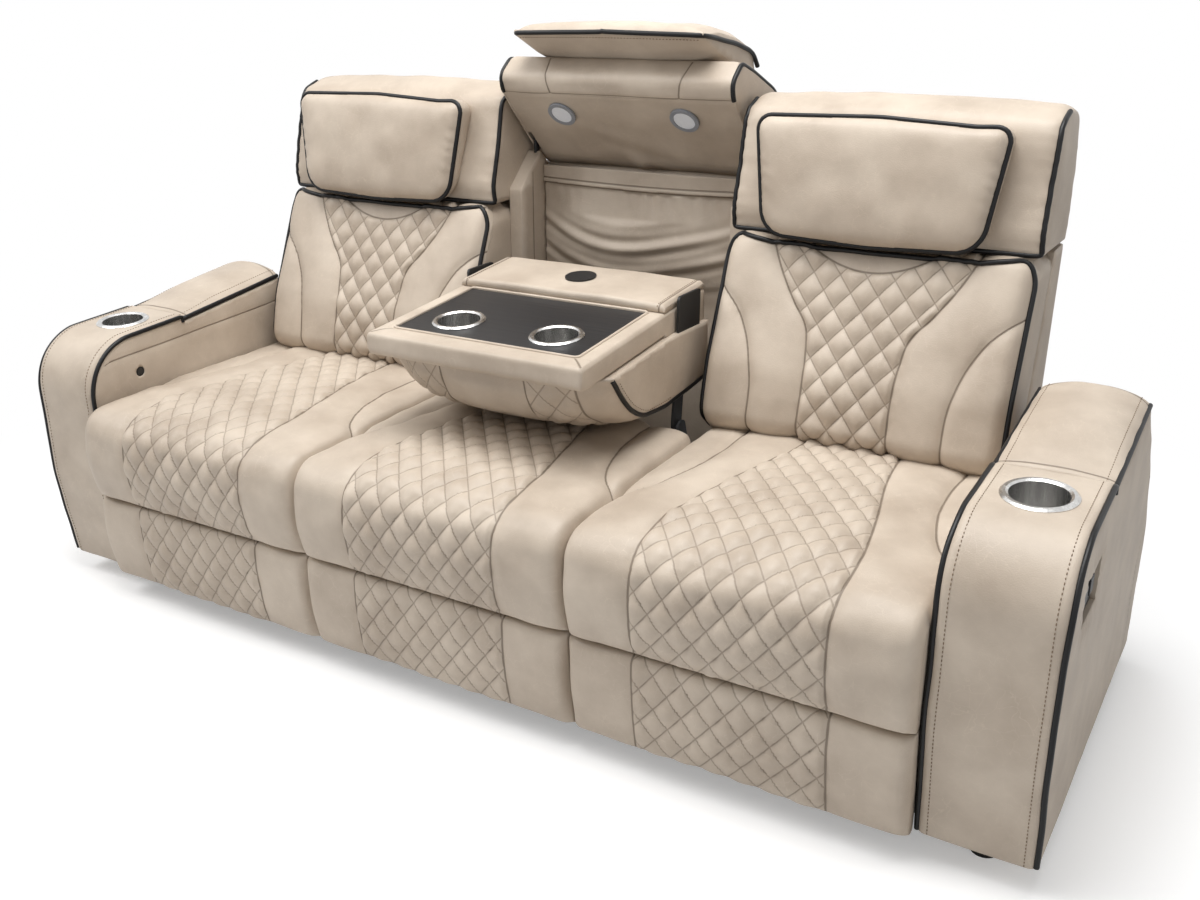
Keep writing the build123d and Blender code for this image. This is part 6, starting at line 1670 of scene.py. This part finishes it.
# ---------------------------------------------------------------- console
@dataclass
class Console:
    """Drop down console: padded tray with its welted inlay, storage lid and the cushion below."""

    half: float = 240.0
    front: float = -293.0
    rear: float = 170.0
    pitch: float = math.radians(6.4)       # the tray falls to the front
    thickness: float = 45.0
    strip: Span = (95.0, 191.0)            # x of a quilted strip
    cup: Span = (111.0, -172.5)            # x, y of a cup's mouth
    hinge: Span = (177.0, 710.93)          # y, z of the lid's hinge
    inlay: Span = (-250.0, -2.0)           # y of the inlay's edges
    inlay_half: float = 204.0

    def top(self, y: float) -> float:
        """Height of the tray's top."""
        return 658 + (y + 293) * math.tan(self.pitch)

    def build(self, trim: Trim) -> None:
        """Make the whole console."""
        self.tray(trim)
        self.lid(trim)
        self.cushion(trim)

    def cup_bores(self, cutter: Shells, depth: float, radius: float) -> Shells:
        """Add the bores of both cups, square to the tray's top, to a cutter."""
        up = np.array((0.0, -math.sin(self.pitch), math.cos(self.pitch)))
        for side in BOTH:
            mouth = np.array((side * self.cup[0], self.cup[1], self.top(self.cup[1])))
            cutter.rod(mouth - up * depth, mouth + up * 20, radius, 64)
        return cutter

    def tray(self, trim: Trim) -> None:
        """Make the padded tray with the box behind it."""
        front, rear, under = self.front, self.rear, self.thickness
        corners = [(front, self.top(front) - under, 16, -1, -1), (front, self.top(front), 8, -1, 1),
                   (rear, self.top(rear), 2, 0, 1), (rear, 559.9, 10, 0, 0), (6, 545, 10, 0, 0),
                   (6, self.top(6) - under, 1, 0, -1)]
        body = SweptBody("console_tray_pad", 0.0, self.half, corners, crown=0.3, drawn=7, edge=0.035, step=5,
                         columns=100, edge_columns=6, side_step=7, side_bulge={-1: 1.2, 1: 1.2})
        y = body.grid[..., 1]
        top = body.normal[..., 2] > 0.75
        mitre = (self.half - np.abs(body.x)) - (y - front)
        corner = (y < -252) & (body.normal[..., 2] > -0.5)
        body.seams[..., 0] = np.where(corner & top, np.clip(mitre / 1.41, -FAR, FAR), FAR)
        near, far = self.inlay
        outside = np.maximum(np.abs(body.x) - self.inlay_half, np.maximum(near - y, y - far))
        rim = np.where(top & (y < 0), ridge(outside - 18, 2.2, 13), 0)
        nose = np.where(body.normal[..., 1] < -0.5, 1.5, 0)
        body.push(rim + nose * (1 + 0.4 * ripple(body.grid, 70, 111)))
        made = body.build(SEAMED)
        cutter = Shells().box((-228, 228), (18, 158), (572, 800))
        seat = [(x * self.inlay_half, y, self.top(y) + h)
                for x in BOTH for y in self.inlay for h in (-3.0, 14.0)]
        cutter.add(np.array(seat, float), BOX)
        self.cup_bores(cutter, 85, 43.4)
        made = cut_away(made, cutter.build("tray_cutter", SEAMED), True)
        settle(made, "console", "console_tray")
        ring, _ = rounded_corners([(-207, -253, 9), (207, -253, 9), (207, 1, 9), (-207, 1, 9)], 7)
        welt = np.array([(x, y, self.top(y) + 1.6) for x, y in ring])
        trim.pipe("console_welt", "console", [welt], 3.0, True, PLAIN)
        metal = Shells().pin((-66, 66), *self.hinge, 3.5)
        for side in BOTH:
            metal.box((side * 64, side * 69), (166, 182), (684, 715.5))
        settle(metal.build("console_lid_brackets", BLACK_STEEL), "console")
    def lid(self, trim: Trim) -> None:
        """Make the storage lid with its stitched end seams."""
        low, high = self.top(6) + 0.6, self.top(170) + 0.6
        corners = [(5, low, 2, 0, 0), (5, low + 13.6, 7, 0, 1), (170, high + 13.6, 7, 0, 1),
                   (170, high, 2, 0, 0)]
        body = SweptBody("console_lid_pad", 0.0, 238, corners, step=4.5, columns=90, edge=0.03, edge_columns=5,
                         profile=[(0, 5), (0.7, 4.2), (0.94, 2.4), (0.985, 0.6), (1, -4)], side_step=8)
        top = body.normal[..., 2] > 0.3
        body.seams[..., 0] = np.where(body.normal[..., 2] > -0.5, 226 - np.abs(body.x), FAR)
        flat = np.clip(np.hypot(body.grid[..., 0], body.grid[..., 1] - 90) / 12 - 3, 0, 1)
        groove = ridge(body.seams[..., 0], 0.9, 3)
        body.push(np.where(top, ripple(body.grid, 90, 121) * 0.7 * flat - groove, 0))
        settle(body.build(SEAMED), "console_cover", "console_lid")
        first, last = body.row_at(0) + 3, body.row_at(2)
        stitches = [body.edge_path(side, first, last, 16.0, -0.2) for side in BOTH]
        trim.sew("console_lid_topstitch", "console_cover", stitches)
        knuckle = Shells().pin((-60, 60), *self.hinge, 5.5).box((-60, 60), (162, 177), (712.9, 715.9))
        settle(knuckle.build("console_lid_knuckle", BLACK_STEEL), "console_cover")

    def cushion(self, trim: Trim) -> None:
        """Make the cushion under the tray with two quilted strips and piped ends."""
        count, rear_rows, end = 74, 60, 251.5
        side = even_path(np.array([(-209, 620), (-196, 606), (-183, 589), (-162, 566), (-141, 547), (-115, 531),
                                   (-89, 521), (-10, 517), (110, 530), (168, 538)], float), 9)
        middle = smooth_path([(-262, 616), (-258, 600), (-248, 570), (-225, 535), (-180, 512), (-133, 497),
                              (20, 480), (168, 498)], 4)
        side, middle = even_path(side, 0, count), even_path(middle, 0, count)
        roll = np.array([241.8, 243.4, 245.6, 248.0, 250.0, 251.2, 251.5]) / end
        share = np.concatenate([-roll[::-1], np.linspace(-0.9525, 0.9525, 104), roll])
        weight = np.clip(1 - np.abs(share) ** 4, 0, 1)[None, :, None]
        front = side[:, None, :] * (1 - weight) + middle[:, None, :] * weight
        y = np.linspace(168, -205, rear_rows)
        under = self.top(y) - self.thickness - 1
        plain = np.where(y > 5, 544 + (y - 6) * 0.091, under)
        wrapped = np.minimum(under, 648)     # the ends wrap up round the box and the arm plates
        height = np.where((np.abs(share) > 0.955)[None, :], wrapped[:, None], plain[:, None])
        back = np.stack([np.broadcast_to(y[:, None], height.shape), height], -1)
        flat = np.concatenate([front, back], axis=0)
        places = np.concatenate([np.broadcast_to(share * end, flat.shape[:2])[..., None], flat], axis=2)
        body = GridBody("console_cushion_pad", 0.0, places, side_bulge={-1: 1.5, 1: 1.5})
        body.across = np.abs(body.x) - self.strip[0]
        rows = np.arange(len(flat), dtype=float)
        shown = (rows < count) * step_up(rows, 0, 6) * step_up(count - rows, 0, 6)
        inside = np.abs(np.abs(body.x) - sum(self.strip) / 2) - (self.strip[1] - self.strip[0]) / 2
        body.seams[..., 0] = np.where(rows[:, None] < count, inside, FAR)
        puff = np.where(inside > 0, swell(inside, 6, 16), 0) * step_up(250 - np.abs(body.x), 4, 24)
        folds = ripple(body.grid, 90, 131) * 1.0 * step_up(250 - np.abs(body.x), 4, 30)
        body.push((body.quilting(inside, 0.0, 5.5, 6) + puff + folds) * shown[:, None])
        cutter = self.cup_bores(Shells(), 82, 44.5)
        made = cut_away(body.build(QUILTED), cutter.build("cup_cutter", QUILTED))
        settle(made, "console", "console_cushion")
        pipes, stitches = [], []
        for s in BOTH:
            pipes.append(even_path(body.edge_path(s, 1, count - 4, 1.5, -0.5), 8))
            edge = body.edge_path(s, 3, count - 30, 0.5, 0.0)
            pull = (np.array((0.0, 20.0, 600.0)) - edge) * np.array((0, 1, 1))
            edge = edge + pull / np.linalg.norm(pull, axis=1, keepdims=True) * 11
            edge[:, 0] = s * 254.2
            stitches.append(edge)
        trim.pipe("console_cushion_piping", "console", pipes)
        trim.sew("console_cushion_topstitch", "console", stitches)


# ---------------------------------------------------------------- stage
@dataclass
class Studio:
    """Plain pale floor, white surroundings, soft lamps and the photograph's camera."""

    eye: tuple[float, float, float] = (1.2793, -1.9592, 1.2373)
    tilt: float = 20.243
    turn: float = 31.054
    lens: float = 36.16
    sky_light: float = 0.3
    paper_grey: float = 0.82
    paper_glow: float = 0.32
    shadow_edge: Span = (1.15, 2.1)        # the floor's shadow fades out between these, metres
    lamps: Sequence[tuple] = (             # name, place, aim, side of its square, watts
        ("key_lamp", (-2.6, -2.0, 3.7), (0.0, 0.0, 0.4), 2.2, 84),
        ("top_lamp", (0.3, -0.4, 3.4), (0.0, -0.1, 0.4), 2.0, 104),
        ("right_lamp", (3.8, -1.4, 1.6), (0.3, 0.0, 0.4), 2.6, 10))

    def build(self) -> None:
        """Set everything up."""
        scene = bpy.context.scene
        data = bpy.data.cameras.new("camera")
        data.sensor_width = 36.0
        data.lens = self.lens
        camera = link_object("camera", data)
        camera.location = self.eye
        camera.rotation_euler = (math.radians(90 - self.tilt), 0, math.radians(self.turn))
        scene.camera = camera
        scene.view_settings.view_transform = "Standard"
        self.sky()
        self.floor()
        for lamp in self.lamps:
            self.lamp(*lamp)

    def sky(self) -> None:
        """White surroundings that the camera and reflections see, at a plain light level."""
        world = bpy.data.worlds.new("surroundings")
        bpy.context.scene.world = world
        world.use_nodes = True
        tree = world.node_tree
        tree.nodes.clear()
        path = node(tree, "LightPath").outputs
        seen = node(tree, "Math", {0: path["Is Camera Ray"], 1: path["Is Transmission Ray"]},
                    operation="MAXIMUM")
        seen = node(tree, "Math", {0: seen, 1: path["Is Glossy Ray"]}, operation="MAXIMUM")
        lit = node(tree, "Background", {"Color": (1, 1, 1, 1), "Strength": self.sky_light})
        white = node(tree, "Background", {"Color": (1, 1, 1, 1), "Strength": 1.0})
        node(tree, "OutputWorld", {"Surface": node(tree, "MixShader", {0: seen, 1: lit, 2: white})})

    def floor(self) -> None:
        """Matt white floor whose shadow fades to the white of the surroundings."""
        wide = 9000.0
        corners = np.array([(-wide, -wide, 0), (wide, -wide, 0), (wide, wide, 0), (-wide, wide, 0)])
        made = make_object("floor", corners, [(0, 1, 2, 3)], self.paper())

    def paper(self) -> Material:
        """Matt white studio paper; the camera sees it lifted to white where it is lit."""
        material, tree, shader, place = blank_material("white_studio_paper")
        feed(tree, shader, {"Base Color": (*[self.paper_grey] * 3, 1), "Roughness": 0.9})
        glow = node(tree, "Emission", {"Strength": self.paper_glow})
        near = node(tree, "AddShader", {0: shader, 1: glow})
        # past the sofa's shadow the paper runs out into the white surroundings
        away = node(tree, "VectorMath", {0: place}, operation="LENGTH").outputs["Value"]
        inner, outer = self.shadow_edge
        fade = node(tree, "MapRange", {"Value": away, "From Min": inner, "From Max": outer},
                    interpolation_type="SMOOTHSTEP")
        white = node(tree, "Emission", {"Strength": 1.0})
        shown = node(tree, "MixShader", {0: fade, 1: near, 2: white})
        camera = node(tree, "LightPath").outputs["Is Camera Ray"]
        end = next(n for n in tree.nodes if n.type == "OUTPUT_MATERIAL")
        feed(tree, end, {"Surface": node(tree, "MixShader", {0: camera, 1: shader, 2: shown})})
        return material

    def lamp(self, name: str, place: Sequence[float], aim: Sequence[float], size: float, power: float) -> None:
        """Add a large soft lamp.

        Args:
            name: Name of the lamp.
            place: Where it hangs, metres.
            aim: What it points at.
            size: Side of its square, metres.
            power: Watts.
        """
        data = bpy.data.lights.new(name, "AREA")
        data.shape = "SQUARE"
        data.size = size
        data.energy = power
        made = link_object(name, data)
        made.location = place
        made.rotation_euler = (Vector(aim) - Vector(place)).to_track_quat("-Z", "Y").to_euler()


def dress_rigid(nodes: dict[str, Thing], record: dict) -> None:
    """Give each CAD node that stays the finish of its material slot.

    Args:
        nodes: CAD nodes by name.
        record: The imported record.
    """
    rigid = (PLAIN, BLACK_STEEL, BLACK_PLASTIC, STEEL, SPRING, BOARD, INLAY, GREY_BEZEL, LENS)
    finishes = {finish.slot: finish for finish in rigid}
    slots = {part.get("node") or part.get("name"): part.get("material_slot") or part.get("slot")
             for part in record.get("subparts", [])}
    for name, made in nodes.items():
        finish = finishes.get(slots.get(name))
        for held in made.material_slots if finish else ():
            held.material = finish.material()


def main() -> None:
    """Build the sofa's looks, sub-assembly by sub-assembly."""
    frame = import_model()
    Studio().build()
    dress_rigid(frame["nodes"], frame["record"])
    for side, sign, rear in (("left", -1, 109.0), ("centre", 0, 22.0), ("right", 1, 109.0)):
        Seat(side, sign * SEAT_PITCH, rear).build()
    for side, sign, body, replaced in (("left", -1, "left_footrest", "left_footrest_pad"),
                                       ("centre", 0, "base", "centre_front_panel"),
                                       ("right", 1, "right_footrest", "right_footrest_pad")):
        FootPanel(side, sign * SEAT_PITCH, body, replaced).build()
    trim = Trim()
    for side, sign in (("left", -1), ("right", 1)):
        Arm(side, sign).build(trim)
        OuterBack(side, sign).build(trim)
    CentreBack().build(trim)
    Console().build(trim)


if __name__ == "__main__":
    main()
